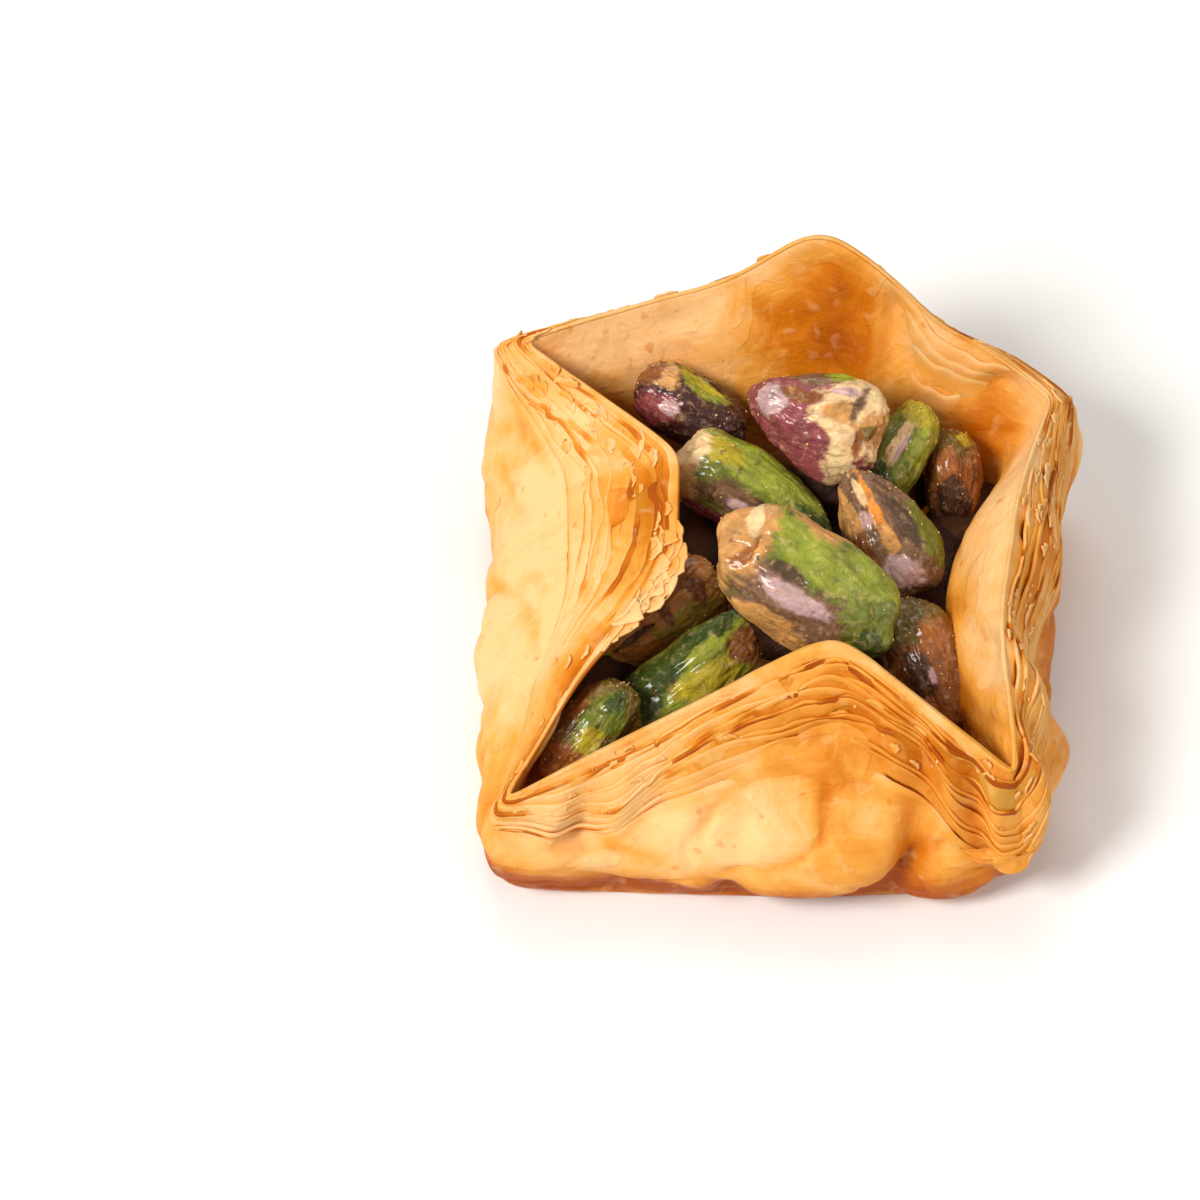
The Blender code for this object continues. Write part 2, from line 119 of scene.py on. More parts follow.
INNER_FLOOR = {
    "corners": ((-17.0, -17.2, 3.8), (16.0, -16.0, 3.8), (16.6, 16.4, 3.8), (-16.6, 17.0, 3.8)),
    "peaks": ((17.4, 3.8), (15.6, 3.8), (17.6, 3.8), (17.4, 3.8)),
}
CORNER_SOFTNESS = {"base": 0.060, "wall": 0.050, "rim": 0.020}

# Dents and lifts of single rings: place round the basket, spread, then how far out and up, in
# millimetres. They give each flap the slumps and shoulders of hand-folded pastry.
DENTS = {
    "base_round": ((0.55, 0.05, -0.3, 0.3), (2.30, 0.08, -0.6, 0.0), (3.60, 0.07, -0.5, 0.3)),
    "bulge": (
        (0.26, 0.08, -0.4, 0.0),
        (0.79, 0.05, -1.3, 0.0),
        (1.26, 0.05, 1.9, 0.0),
        (1.42, 0.07, -2.1, 0.0),
        (1.70, 0.09, -0.9, 0.0),
        (2.24, 0.06, -1.2, 0.0),
        (2.70, 0.08, -0.8, 0.0),
    ),
    "outer_rim": (
        (0.20, 0.09, 0.5, -3.0),
        (0.89, 0.06, 0.6, -3.4),
        (0.98, 0.05, 0.4, -3.2),
        (1.38, 0.11, -2.2, -0.4),
        (1.70, 0.10, -0.9, 0.0),
        (2.22, 0.05, -0.4, -1.0),
        (2.62, 0.09, -0.3, -2.2),
        (2.80, 0.08, 0.0, -0.9),
        (3.80, 0.08, 0.4, -1.6),
    ),
    "inner_rim": (
        (1.30, 0.10, -0.5, -0.6),
        (2.22, 0.05, -0.4, -1.0),
        (2.62, 0.09, -0.3, -2.2),
        (2.80, 0.08, 0.0, -0.9),
        (3.78, 0.08, 0.8, 0.4),
    ),
    "inner_belly": ((1.84, 0.08, 0.8, 0.0),),
}


def flap_shape(side, along):
    """1 at the point of a side's flap, falling in two nearly straight slopes to 0 at its corners."""
    peak, blunt, rounding = PEAK_AT[side], PEAK_BLUNT[side], PEAK_ROUND[side]
    reach = np.where(along < peak, peak, 1 - peak)
    away = np.clip((np.abs(along - peak) - blunt / 2) / (reach - blunt / 2), 0, 1)
    fall = (np.sqrt(away**2 + rounding**2) - rounding) / (math.sqrt(1 + rounding**2) - rounding)
    return 1 - fall


def bump_at(places, centre, spread):
    """A soft bump round one place of the rim, 1 in its middle."""
    away = np.abs(places % SIDES - centre % SIDES)
    away = np.minimum(away, SIDES - away)
    return np.exp(-0.5 * (away / spread) ** 2)


def soften(ring, softness):
    """The closed ring averaged along itself, which rounds its corners."""
    weights = bump_at(RIM_PLACES, 0.0, softness)
    weights /= weights.sum()
    spectrum = np.fft.rfft(weights)[:, None] * np.fft.rfft(ring, axis=0)
    return np.fft.irfft(spectrum, RIM_STEPS, axis=0)


def pastry_ring(ring, softness, dents=()):
    """One closed line round the pastry: straight from corner to corner, drawn out or in at each flap."""
    side = RIM_PLACES.astype(int)
    along = RIM_PLACES - side
    corners = np.array(ring["corners"], float)
    first, second = corners[side], corners[(side + 1) % SIDES]
    line = first + (second - first) * along[:, None]
    for number in range(SIDES):
        here = side == number
        shape = flap_shape(number, along[here])
        peak_out, peak_z = ring["peaks"][number]
        start, end = corners[number], corners[(number + 1) % SIDES]
        at_peak = start + (end - start) * PEAK_AT[number]
        line[here, :2] += OUTWARD[number] * (shape * (peak_out - at_peak[:2] @ OUTWARD[number]))[:, None]
        line[here, 2] += shape * (peak_z - at_peak[2])
    for centre, spread, out, up in dents:
        swell = bump_at(RIM_PLACES, centre, spread)[:, None]
        line[:, :2] += swell * OUTWARD[int(centre)] * out
        line[:, 2:] += swell * up
    return soften(line, softness) * MM + SHIFT


RINGS = {
    "base_edge": pastry_ring(BASE_EDGE, CORNER_SOFTNESS["base"]),
    "base_round": pastry_ring(BASE_ROUND, CORNER_SOFTNESS["base"], DENTS["base_round"]),
    "bulge": pastry_ring(BULGE, CORNER_SOFTNESS["wall"], DENTS["bulge"]),
    "outer_rim": pastry_ring(OUTER_RIM, CORNER_SOFTNESS["rim"], DENTS["outer_rim"]),
    "inner_rim": pastry_ring(INNER_RIM, CORNER_SOFTNESS["rim"], DENTS["inner_rim"]),
    "inner_belly": pastry_ring(INNER_BELLY, CORNER_SOFTNESS["wall"], DENTS["inner_belly"]),
    "inner_floor": pastry_ring(INNER_FLOOR, CORNER_SOFTNESS["base"]),
}


def at_places(ring, places):
    """Values of a ring, or of numbers round it, at places from 0 to 4."""
    step = (places % SIDES) * RIM_STEPS / SIDES
    below = np.floor(step).astype(int) % RIM_STEPS
    share = step - np.floor(step)
    above = (below + 1) % RIM_STEPS
    if ring.ndim == 2:
        share = share[:, None]
    return ring[below] * (1 - share) + ring[above] * share


# How far apart in the noise two seeds lie, for points and round the rim
POINT_SEED_STEP = 13.7
RIM_SEED_STEP = 7.7


def noise_at(points):
    """Smooth noise at each point, mostly between -0.6 and 0.6."""
    return np.array([noise.noise(point) for point in points.tolist()])


def ruffle(points, scale, seed):
    """Smooth lumps over a surface; scale is their size."""
    return noise_at(points / scale + (0.0, POINT_SEED_STEP * seed, 0.0))


def ruffles(points, lumps):
    """The sum of lumps of several sizes: height, scale and seed of each."""
    return sum(height * ruffle(points, scale, seed) for height, scale, seed in lumps)


def creases(points, stretch, scale, width, seed):
    """Thin wandering lines, 1 on each line and 0 between them, drawn out along the axes by stretch."""
    return np.exp(-((ruffle(points / stretch, scale, seed) / width) ** 2))


def rim_noise(wave, seed):
    """Smooth noise for each step round the rim, without a seam; wave is its length in metres."""
    turn = RIM_PLACES * math.tau / SIDES
    radius = RIM_LENGTH / math.tau / wave
    level = np.full(RIM_STEPS, RIM_SEED_STEP * seed)
    return noise_at(np.stack((radius * np.cos(turn), radius * np.sin(turn), level), axis=1))


def smooth_step(low, high, value):
    """0 below low and 1 above high, with a smooth rise between them; low may be the larger one."""
    share = np.clip((value - low) / (high - low), 0, 1)
    return share * share * (3 - 2 * share)


def spots(places, shares, table):
    """The sum of soft spots: place, share, spread along, spread across and amount of each."""
    total = np.zeros(len(places))
    for place, share, spread, rise, amount in table:
        total += amount * bump_at(places, place, spread) * np.exp(-0.5 * ((shares - share) / rise) ** 2)
    return total


OUTER_WALL = ("base_edge", "base_round", "bulge", "outer_rim")
INNER_WALL = ("inner_rim", "inner_belly", "inner_floor")

# The share of each wall's sheet that lies flat under or in the basket
FLAT_SHARE = 0.12

# How far apart two points lie from which a wall's direction is worked out, and the least such step
PROBE = 0.01
TINY = 1e-12


def on_wall(names, places, across):
    """Points of a smooth wall through several rings, at places round it and from 0 to 1 across it."""
    rings = [RINGS[name] for name in names]
    rings = [2 * rings[0] - rings[1], *rings, 2 * rings[-1] - rings[-2]]
    spans = len(names) - 1
    spot = np.clip(across, 0, 1) * spans
    span = np.minimum(spot.astype(int), spans - 1)
    share = (spot - span)[:, None]
    points = np.zeros((len(places), 3))
    for number in range(spans):
        here = span == number
        before, start, end, after = (at_places(ring, places[here]) for ring in rings[number : number + 4])
        u = share[here]
        points[here] = 0.5 * (
            2 * start
            + (end - before) * u
            + (2 * before - 5 * start + 4 * end - after) * u**2
            + (3 * start - before - 3 * end + after) * u**3
        )
    return points


def wall_normals(names, places, across):
    """Directions out of a wall at its places, from small steps along it and across it."""
    forward = on_wall(names, places + PROBE, across) - on_wall(names, places - PROBE, across)
    upward = on_wall(names, places, across + PROBE) - on_wall(names, places, across - PROBE)
    normals = np.cross(forward, upward)
    return normals / np.maximum(np.linalg.norm(normals, axis=1), TINY)[:, None]


# The cut edge between the two rims is called the band
BAND_REACH = 3
BAND_SOFTNESS = 0.02


def band_directions():
    """Directions out of the band, one for each step of the rim."""
    middle = (RINGS["outer_rim"] + RINGS["inner_rim"]) / 2
    around = np.roll(middle, -BAND_REACH, axis=0) - np.roll(middle, BAND_REACH, axis=0)
    out = np.cross(around, RINGS["inner_rim"] - RINGS["outer_rim"])
    return soften(out / np.linalg.norm(out, axis=1)[:, None], BAND_SOFTNESS)


BAND_OUT = band_directions()
BAND_WIDTH = np.linalg.norm(RINGS["inner_rim"] - RINGS["outer_rim"], axis=1)
BAND_BULGE = 0.5 * MM

# Folds that all the layers share: place, share, spread along, spread across, height in millimetres
BAND_FOLDS = (
    (0.115, 0.0, 0.022, 0.45, 0.8),
    (0.170, 0.0, 0.020, 0.40, -0.7),
    (0.235, 0.0, 0.026, 0.45, 0.8),
    (0.310, 0.0, 0.024, 0.35, -0.5),
    (0.375, 0.1, 0.025, 0.30, 0.4),
    (0.740, 0.2, 0.022, 0.35, 0.5),
    (0.800, 0.3, 0.020, 0.35, -0.6),
    (0.850, 0.4, 0.022, 0.35, 0.9),
    (0.905, 0.4, 0.016, 0.35, -0.9),
    (0.950, 0.5, 0.016, 0.40, 0.9),
    (1.005, 0.5, 0.018, 0.40, -0.8),
    (1.070, 0.4, 0.024, 0.40, 0.8),
    (1.150, 0.3, 0.030, 0.40, -0.7),
    (1.260, 0.3, 0.035, 0.40, 0.6),
    (1.400, 0.5, 0.060, 0.30, -0.6),
    (1.620, 0.4, 0.060, 0.30, 0.5),
    (3.120, 0.3, 0.050, 0.30, 0.6),
    (3.300, 0.5, 0.050, 0.25, -0.5),
    (3.700, 0.4, 0.060, 0.30, 0.6),
    (3.840, 0.3, 0.030, 0.35, -0.5),
)
BAND_SWAY = 0.45 * rim_noise(11 * MM, 900) + 0.18 * rim_noise(4 * MM, 901)

# The folds die out where the band is narrow and towards its inner rim
FOLDED_WIDTH = (1.5 * MM, 5 * MM)
FOLDED_SHARE = (1.0, 0.75)


def on_band(places, share, height):
    """Points between the two rims, lifted out of the straight band."""
    start, end = at_places(RINGS["outer_rim"], places), at_places(RINGS["inner_rim"], places)
    return start + (end - start) * share[:, None] + at_places(BAND_OUT, places) * height[:, None]


def band_height(places, share):
    """How far the folded stack of layers stands out of the straight band, the same for every layer."""
    folds = at_places(BAND_SWAY, places) + spots(places, share, BAND_FOLDS)
    folds *= smooth_step(*FOLDED_WIDTH, at_places(BAND_WIDTH, places)) * smooth_step(*FOLDED_SHARE, share)
    return folds * MM + BAND_BULGE * np.sin(np.pi * np.clip(share, 0, 1))


# Meshes

# Points nearer than this are one, where a sheet closes on itself
SEAM = 1e-7


def filo_bmesh():
    """An empty bmesh with the two attributes that the filo materials read, and its layer of toasting and
    painted shade.
    """
    work = bmesh.new()
    work.loops.layers.uv.new("run")
    return work, work.verts.layers.float.new("toast_and_shade")


def new_sheet(columns, rows):
    """A flat grid one unit wide, ready for the filo materials."""
    work, layer = filo_bmesh()
    bmesh.ops.create_grid(work, x_segments=columns, y_segments=rows, size=0.5, calc_uvs=True)
    return work, layer


def folded_sheet(columns, rows, place):
    """A grid folded into shape; place turns along and across into points and their toasting and painted
    shade.
    """
    work, layer = new_sheet(columns, rows)
    flat = np.array([vert.co[:2] for vert in work.verts]) + 0.5
    points, toast_and_shade = place(flat[:, 0], flat[:, 1])
    for vert, point, value in zip(work.verts, points.tolist(), toast_and_shade.tolist()):
        vert.co = point
        vert[layer] = value
    bmesh.ops.remove_doubles(work, verts=work.verts, dist=SEAM)
    return work


def merge_into(work, other):
    """Adds one bmesh to another and frees it."""
    mesh = bpy.data.meshes.new("joining")
    other.to_mesh(mesh)
    other.free()
    work.from_mesh(mesh)
    bpy.data.meshes.remove(mesh)


def add_piece(name, work, material):
    """Turns a bmesh into a piece that rides on the basket."""
    mesh = bpy.data.meshes.new(name)
    work.to_mesh(mesh)
    work.free()
    mesh.shade_smooth()
    mesh.materials.append(material)
    piece = bpy.data.objects.new(name, mesh)
    bpy.context.scene.collection.objects.link(piece)
    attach(piece, BODY)
    return piece


def thicken(piece, thickness, offset=-1.0):
    """Gives a sheet its thickness; offset -1 keeps its outer face where it is."""
    solid = piece.modifiers.new("thickness", "SOLIDIFY")
    solid.thickness = thickness
    solid.offset = offset


# Materials

def add_node(tree, kind, **values):
    """Adds a node and sets its own properties."""
    node = tree.nodes.new(kind)
    for key, value in values.items():
        setattr(node, key, value)
    return node


def feed(tree, value, socket):
    """Links a node's output to a socket, or sets the socket to a plain value."""
    if isinstance(value, bpy.types.NodeSocket):
        tree.links.new(value, socket)
    else:
        socket.default_value = value


def noise_value(tree, place, scale, detail, roughness, distortion=0.0):
    """A noise texture's value; scale is in lumps a metre."""
    node = add_node(tree, "ShaderNodeTexNoise")
    node.inputs["Scale"].default_value = scale
    node.inputs["Detail"].default_value = detail
    node.inputs["Roughness"].default_value = roughness
    node.inputs["Distortion"].default_value = distortion
    tree.links.new(place, node.inputs["Vector"])
    return node.outputs["Fac"]


def ramp(tree, value, low, high, to_low=0.0, to_high=1.0):
    """Turns values from low to high into values from to_low to to_high, and goes no further."""
    node = add_node(tree, "ShaderNodeMapRange", clamp=True)
    for socket, number in zip(node.inputs[1:5], (low, high, to_low, to_high)):
        socket.default_value = number
    tree.links.new(value, node.inputs["Value"])
    return node.outputs["Result"]


def mix_colour(tree, share, first, second):
    """Mixes two colours; a share of 1 gives the second."""
    node = add_node(tree, "ShaderNodeMix", data_type="RGBA")
    feed(tree, share, node.inputs[0])
    feed(tree, first, node.inputs[6])
    feed(tree, second, node.inputs[7])
    return node.outputs[2]


def combine(tree, operation, first, second):
    """A math node's result."""
    node = add_node(tree, "ShaderNodeMath", operation=operation)
    feed(tree, first, node.inputs[0])
    feed(tree, second, node.inputs[1])
    return node.outputs[0]


def add_shares(tree, total, parts):
    """Adds to the total each part times its amount."""
    for part, amount in parts:
        total = combine(tree, "ADD", total, combine(tree, "MULTIPLY", part, amount))
    return total


def new_group(name, inputs):
    """A shader group for a surface, with its input and output nodes; inputs are labels and kinds."""
    group = bpy.data.node_groups.new(name, "ShaderNodeTree")
    for label, kind in inputs:
        group.interface.new_socket(name=label, in_out="INPUT", socket_type="NodeSocket" + kind)
    for label, kind in (("Color", "Color"), ("Roughness", "Float"), ("Height", "Float")):
        group.interface.new_socket(name=label, in_out="OUTPUT", socket_type="NodeSocket" + kind)
    return group, add_node(group, "NodeGroupInput"), add_node(group, "NodeGroupOutput")


def surface_material(name, group, inputs, bump_depth, values):
    """A material that takes colour, roughness and relief from a group, and has plain values beside."""
    if name in bpy.data.materials:
        return bpy.data.materials[name]
    material = bpy.data.materials.new(name)
    material.use_nodes = True
    tree = material.node_tree
    shader = tree.nodes["Principled BSDF"]
    surface = add_node(tree, "ShaderNodeGroup", node_tree=group)
    place = add_node(tree, "ShaderNodeTexCoord").outputs["Object"]
    tree.links.new(place, surface.inputs["Place"])
    for label, value in inputs.items():
        if isinstance(value, tuple):
            kind, output, settings = value
            value = add_node(tree, kind, **settings).outputs[output]
        feed(tree, value, surface.inputs[label])
    bump = add_node(tree, "ShaderNodeBump")
    bump.inputs["Distance"].default_value = bump_depth
    tree.links.new(surface.outputs["Height"], bump.inputs["Height"])
    tree.links.new(bump.outputs["Normal"], shader.inputs["Normal"])
    tree.links.new(surface.outputs["Color"], shader.inputs["Base Color"])
    tree.links.new(surface.outputs["Roughness"], shader.inputs["Roughness"])
    for label, value in values.items():
        shader.inputs[label].default_value = value
    return material


def on_screen(red, green, blue):
    """A colour given as it looks on screen, from 0 to 255, as the shader's linear values."""
    shares = (value / 255 for value in (red, green, blue))
    return tuple(value / 12.92 if value <= 0.04045 else ((value + 0.055) / 1.055) ** 2.4 for value in shares)


def opaque(colour):
    """A colour with its fourth value, for a socket."""
    return (*colour, 1.0)


# The filo's noises: lumps a metre, detail, roughness and distortion
FILO_NOISES = {
    "broad": (70.0, 3.0, 0.50, 0.6),
    "cloudy": (230.0, 5.0, 0.62, 0.6),
    "torn": (120.0, 4.0, 0.45, 0.8),
    "fine": (1500.0, 4.0, 0.60),
    "blistered": (760.0, 1.0, 0.30, 0.4),
    "specked": (620.0, 2.0, 0.50),
}
STREAK_STRETCH = (14.0, 40.0, 1.0)
STREAK_NOISE = (1.0, 5.0, 0.60, 0.6)
FILO_ROUGHNESS = (0.36, 0.58)

# The filo's values that are the same all over
FILO_SURFACE = {
    "Subsurface Weight": 0.35,
    "Subsurface Radius": (1.0, 0.6, 0.35),
    "Subsurface Scale": 0.3 * MM,
    "Specular IOR Level": 0.14,
}

# How strongly each filo material is mottled, and how deep its relief is
FILO_KINDS = {
    "filo_wall": (1.0, 0.30 * MM),
    "filo_layers": (0.8, 0.16 * MM),
    "filo_flakes": (0.7, 0.12 * MM),
}


def baked_filo_group():
    """Filo as it bakes: pale where thin and dry, then golden, brown and deep orange where toasted or painted
    with shade.
    """
    name = "baked_filo"
    if name in bpy.data.node_groups:
        return bpy.data.node_groups[name]
    look = bpy.context.scene.baklava_pastry
    inputs = (("Place", "Vector"), ("Run", "Vector"), ("Toast and Shade", "Float"), ("Mottling", "Float"))
    group, start, end = new_group(name, inputs)
    place = start.outputs["Place"]
    noises = {key: noise_value(group, place, *values) for key, values in FILO_NOISES.items()}
    stretch = add_node(group, "ShaderNodeMapping")
    stretch.inputs["Scale"].default_value = STREAK_STRETCH
    group.links.new(start.outputs["Run"], stretch.inputs["Vector"])
    streaks = noise_value(group, stretch.outputs["Vector"], *STREAK_NOISE)
    # The torn edges of the sheets above, and where the surface has blistered
    sheets = combine(
        group, "ADD", ramp(group, noises["torn"], 0.555, 0.565), ramp(group, noises["torn"], 0.435, 0.445)
    )
    blisters = ramp(group, noises["blistered"], 0.62, 0.76)
    uneven = combine(group, "MULTIPLY", sheets, -0.07)
    for part, swing in ((noises["cloudy"], 0.20), (noises["broad"], 0.30), (streaks, 0.05)):
        uneven = combine(group, "ADD", uneven, ramp(group, part, 0.3, 0.7, -swing, swing))
    toast_and_shade = add_shares(group, start.outputs["Toast and Shade"], ((uneven, start.outputs["Mottling"]),))
    colour = opaque(look.pale)
    for low, high, darker in ((0.0, 0.45, look.golden), (0.45, 0.85, look.brown), (0.85, 1.30, look.deep)):
        colour = mix_colour(group, ramp(group, toast_and_shade, low, high), colour, opaque(darker))
    specks = ramp(group, noises["specked"], 0.68, 0.75, 0.0, 0.5)
    colour = mix_colour(group, specks, colour, opaque(look.brown))
    colour = mix_colour(group, combine(group, "MULTIPLY", blisters, 0.25), colour, opaque(look.pale))
    relief = ((noises["fine"], 0.16), (streaks, 0.14), (sheets, 0.12), (blisters, 0.16))
    group.links.new(colour, end.inputs["Color"])
    group.links.new(ramp(group, noises["fine"], 0.3, 0.7, *FILO_ROUGHNESS), end.inputs["Roughness"])
    group.links.new(add_shares(group, noises["cloudy"], relief), end.inputs["Height"])
    return group


def filo_material(name):
    """Filo for one kind of piece, which carries its own toasting and painted shade and its run along the
    sheet.
    """
    mottling, depth = FILO_KINDS[name]
    inputs = {
        "Run": ("ShaderNodeUVMap", "UV", {"uv_map": "run"}),
        "Toast and Shade": ("ShaderNodeAttribute", "Fac", {"attribute_name": "toast_and_shade"}),
        "Mottling": mottling,
    }
    return surface_material(name, baked_filo_group(), inputs, depth, FILO_SURFACE)


# The pastry

# Puffs and creases of the outer wall: place, share of the wall, spreads, then how far out
WALL_PUFFS = (
    (0.63, 0.80, 0.085, 0.18, 0.9),
    (0.58, 0.45, 0.080, 0.12, 0.5),
    (0.775, 0.62, 0.020, 0.26, -1.3),
    (0.730, 0.36, 0.030, 0.14, -0.7),
    (0.855, 0.52, 0.034, 0.16, 0.8),
    (0.47, 0.50, 0.022, 0.25, -0.7),
    (0.37, 0.62, 0.060, 0.14, 0.7),
    (0.25, 0.40, 0.050, 0.12, -0.5),
    (0.14, 0.66, 0.050, 0.12, 0.4),
    (1.22, 0.60, 0.050, 0.20, 0.6),
    (1.40, 0.55, 0.030, 0.30, -0.7),
    (1.60, 0.60, 0.070, 0.20, 0.6),
    (1.82, 0.50, 0.030, 0.30, -0.6),
    (2.12, 0.55, 0.060, 0.25, 0.6),
    (2.30, 0.50, 0.030, 0.30, -0.8),
    (2.48, 0.65, 0.080, 0.20, 0.8),
    (2.72, 0.50, 0.030, 0.30, -0.8),
    (3.15, 0.55, 0.060, 0.25, 0.5),
    (3.34, 0.50, 0.030, 0.30, -0.6),
    (3.60, 0.60, 0.080, 0.20, 0.6),
    (3.82, 0.50, 0.030, 0.30, -0.5),
)
# Spots of toasting and painted shade on the outer wall, in the same columns: those low along the front, from
# place 0.04 to 0.90, darken its base with toasting and painted shade together, and the two at places 0.74
# and 0.775 are painted shade in the front's crease
WALL_TOAST_AND_SHADE = (
    (0.08, 0.35, 0.07, 0.14, 0.45),
    (0.25, 0.28, 0.26, 0.16, 0.70),
    (0.60, 0.30, 0.18, 0.14, 0.80),
    (0.90, 0.28, 0.10, 0.14, 0.55),
    (0.04, 0.42, 0.05, 0.12, 0.25),
    (0.28, 0.45, 0.06, 0.12, 0.22),
    (0.20, 0.80, 0.08, 0.10, 0.20),
    (0.775, 0.60, 0.024, 0.24, 0.50),
    (0.74, 0.30, 0.06, 0.10, 0.15),
    (0.66, 0.94, 0.05, 0.05, 0.30),
    (0.62, 0.70, 0.12, 0.20, -0.12),
    (0.33, 0.62, 0.07, 0.14, -0.15),
    (3.55, 0.85, 0.40, 0.30, -0.35),
    (3.95, 0.50, 0.06, 0.20, 0.15),
    (1.22, 0.60, 0.06, 0.25, 0.15),
    (1.60, 0.40, 0.10, 0.20, 0.25),
)

# Where fine wrinkles run along the outer wall
WALL_WRINKLES = (
    (0.05, 0.42, 0.07, 0.14, 1.0),
    (3.94, 0.42, 0.06, 0.14, 0.9),
    (0.45, 0.30, 0.10, 0.07, 0.5),
    (0.92, 0.45, 0.06, 0.15, 0.7),
    (1.60, 0.40, 0.20, 0.15, 0.5),
    (2.50, 0.40, 0.40, 0.15, 0.5),
)

# Lumps of the outer wall: height in millimetres, size and seed
WALL_LUMPS = ((0.85, 8 * MM, 1), (0.40, 3.6 * MM, 2), (0.05, 1.1 * MM, 6))

# Creases of the outer wall: how far they are drawn out, their spacing, width and seed
DEEP_FOLDS = ((1.6, 1.6, 1.0), 7 * MM, 0.10, 3)
SMALL_FOLDS = ((1.5, 1.5, 1.0), 4 * MM, 0.10, 4)
FOLD_LINES = ((5.0, 1.0, 1.0), 1.3 * MM, 0.16, 5)

# How deep each kind of crease is, in millimetres, and how much painted shade darkens it
DEEP_FOLD = (0.42, 0.20)
SMALL_FOLD = (0.20, 0.10)
FOLD_LINE = (0.14, 0.18)

# The outer wall's rows, its height, its toasting and how much darker it is lower down
WALL_ROWS = 56
WALL_HEIGHT = 24 * MM
WALL_PALE, WALL_DARKENING = 0.38, 0.38


def along_wall(places, share, height, points):
    """Where points lie along a wall and up it, as on the flat sheet before it was folded."""
    return np.stack((places * RIM_LENGTH / SIDES, share * height, np.zeros(len(points))), axis=1)


def build_outer_wall(look):
    """The outermost sheet: under the basket, up its sides and to its free edge."""
    middle = RINGS["base_edge"].mean(axis=0)
    fray = 0.010 * rim_noise(1.2 * MM, 31) + 0.010 * rim_noise(4 * MM, 32)

    def place(along, across):
        places = along * SIDES
        share = np.clip((across - FLAT_SHARE) / (1 - FLAT_SHARE), 0, 1)
        share = share * (1 + at_places(fray, places) * smooth_step(0.9, 1.0, share))
        points = on_wall(OUTER_WALL, places, share)
        normals = wall_normals(OUTER_WALL, places, share)
        flow = along_wall(places, share, WALL_HEIGHT, points)
        deep, small = creases(points, *DEEP_FOLDS), creases(points, *SMALL_FOLDS)
        lines = creases(flow, *FOLD_LINES)
        lines *= np.clip(spots(places, share, WALL_WRINKLES), 0, 1)
        puff = spots(places, share, WALL_PUFFS) + ruffles(points, WALL_LUMPS)
        toast_and_shade = WALL_PALE + WALL_DARKENING * smooth_step(0.62, 0.22, share)
        toast_and_shade += spots(places, share, WALL_TOAST_AND_SHADE)
        toast_and_shade -= 0.20 * smooth_step(0.96, 1.0, share)
        # Each crease sinks in, and painted shade darkens it
        for crease, (depth, darker) in ((deep, DEEP_FOLD), (small, SMALL_FOLD), (lines, FOLD_LINE)):
            puff -= depth * crease
            toast_and_shade += darker * crease
        # The wall keeps still at the base and at its free edge, where it follows the layers' folds
        rim = smooth_step(0.72, 1.0, share)
        puff *= MM * smooth_step(0.0, 0.2, share) * (1 - 0.4 * rim) * smooth_step(1.0, 0.88, share)
        folds = band_height(places, np.zeros(len(places))) * rim
        points = points + normals * puff[:, None] + at_places(BAND_OUT, places) * folds[:, None]
        points[:, 2] = np.maximum(points[:, 2], SHIFT[2])
        under = across < FLAT_SHARE
        inwards = (across[under] / FLAT_SHARE)[:, None]
        points[under] = middle + (at_places(RINGS["base_edge"], places[under]) - middle) * inwards
        return points, toast_and_shade

    work = folded_sheet(RIM_STEPS, WALL_ROWS, place)
    piece = add_piece("filo_outer_wall", work, filo_material("filo_wall"))
    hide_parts(PASTRY)
    thicken(piece, look.sheet_thickness)


# Puffs and toasting of the inner wall, whose shares go down from its rim
INNER_PUFFS = (
    (1.50, 0.35, 0.22, 0.20, 0.7),
    (1.28, 0.20, 0.05, 0.20, -0.4),
    (2.30, 0.12, 0.015, 0.20, -0.8),
    (2.20, 0.15, 0.050, 0.14, 0.6),
    (2.08, 0.12, 0.020, 0.16, -0.7),
    (2.43, 0.14, 0.060, 0.12, -0.5),
    (2.62, 0.20, 0.040, 0.20, 0.4),
    (2.82, 0.25, 0.060, 0.20, 0.5),
    (3.86, 0.30, 0.050, 0.25, 0.5),
    (3.60, 0.30, 0.080, 0.25, 0.4),
)
INNER_TOAST = (
    (2.405, 0.22, 0.070, 0.15, 0.75),
    (2.20, 0.12, 0.070, 0.20, -0.10),
    (2.82, 0.10, 0.130, 0.25, -0.42),
    (2.55, 0.02, 0.080, 0.05, -0.35),
    (2.05, 0.25, 0.050, 0.20, 0.35),
    (1.50, 0.20, 0.250, 0.20, -0.18),
    (1.15, 0.60, 0.120, 0.30, 0.35),
    (3.85, 0.15, 0.070, 0.14, -0.25),
    (3.88, 0.55, 0.060, 0.20, 0.55),
)

# Lumps, creases and lines of the inner wall, its rows, its height and its toasting
INNER_LUMPS = ((0.50, 8 * MM, 11), (0.25, 3.5 * MM, 12), (0.05, 1.1 * MM, 15))
INNER_FOLDS = ((1.0, 1.0, 1.0), 9 * MM, 0.07, 13)
INNER_LINES = ((6.0, 1.0, 1.0), 1.6 * MM, 0.16, 14)
INNER_ROWS = 40
INNER_HEIGHT = 14 * MM
INNER_PALE, INNER_DARKENING = 0.36, 0.35

# The turned-in facet of the back right flap: the places between which it is palest, and how much
FACET_FROM, FACET_TO = (2.10, 2.25), (2.345, 2.325)
FACET_PALER = 0.25


def inner_puff(places, share, points):
    """How far the innermost sheet stands out from its smooth wall."""
    flow = along_wall(places, share, INNER_HEIGHT, points)
    puff = spots(places, share, INNER_PUFFS) + ruffles(points, INNER_LUMPS)
    puff -= 0.20 * creases(points, *INNER_FOLDS) + 0.04 * creases(flow, *INNER_LINES)
    return puff * MM * smooth_step(0.0, 0.12, share)


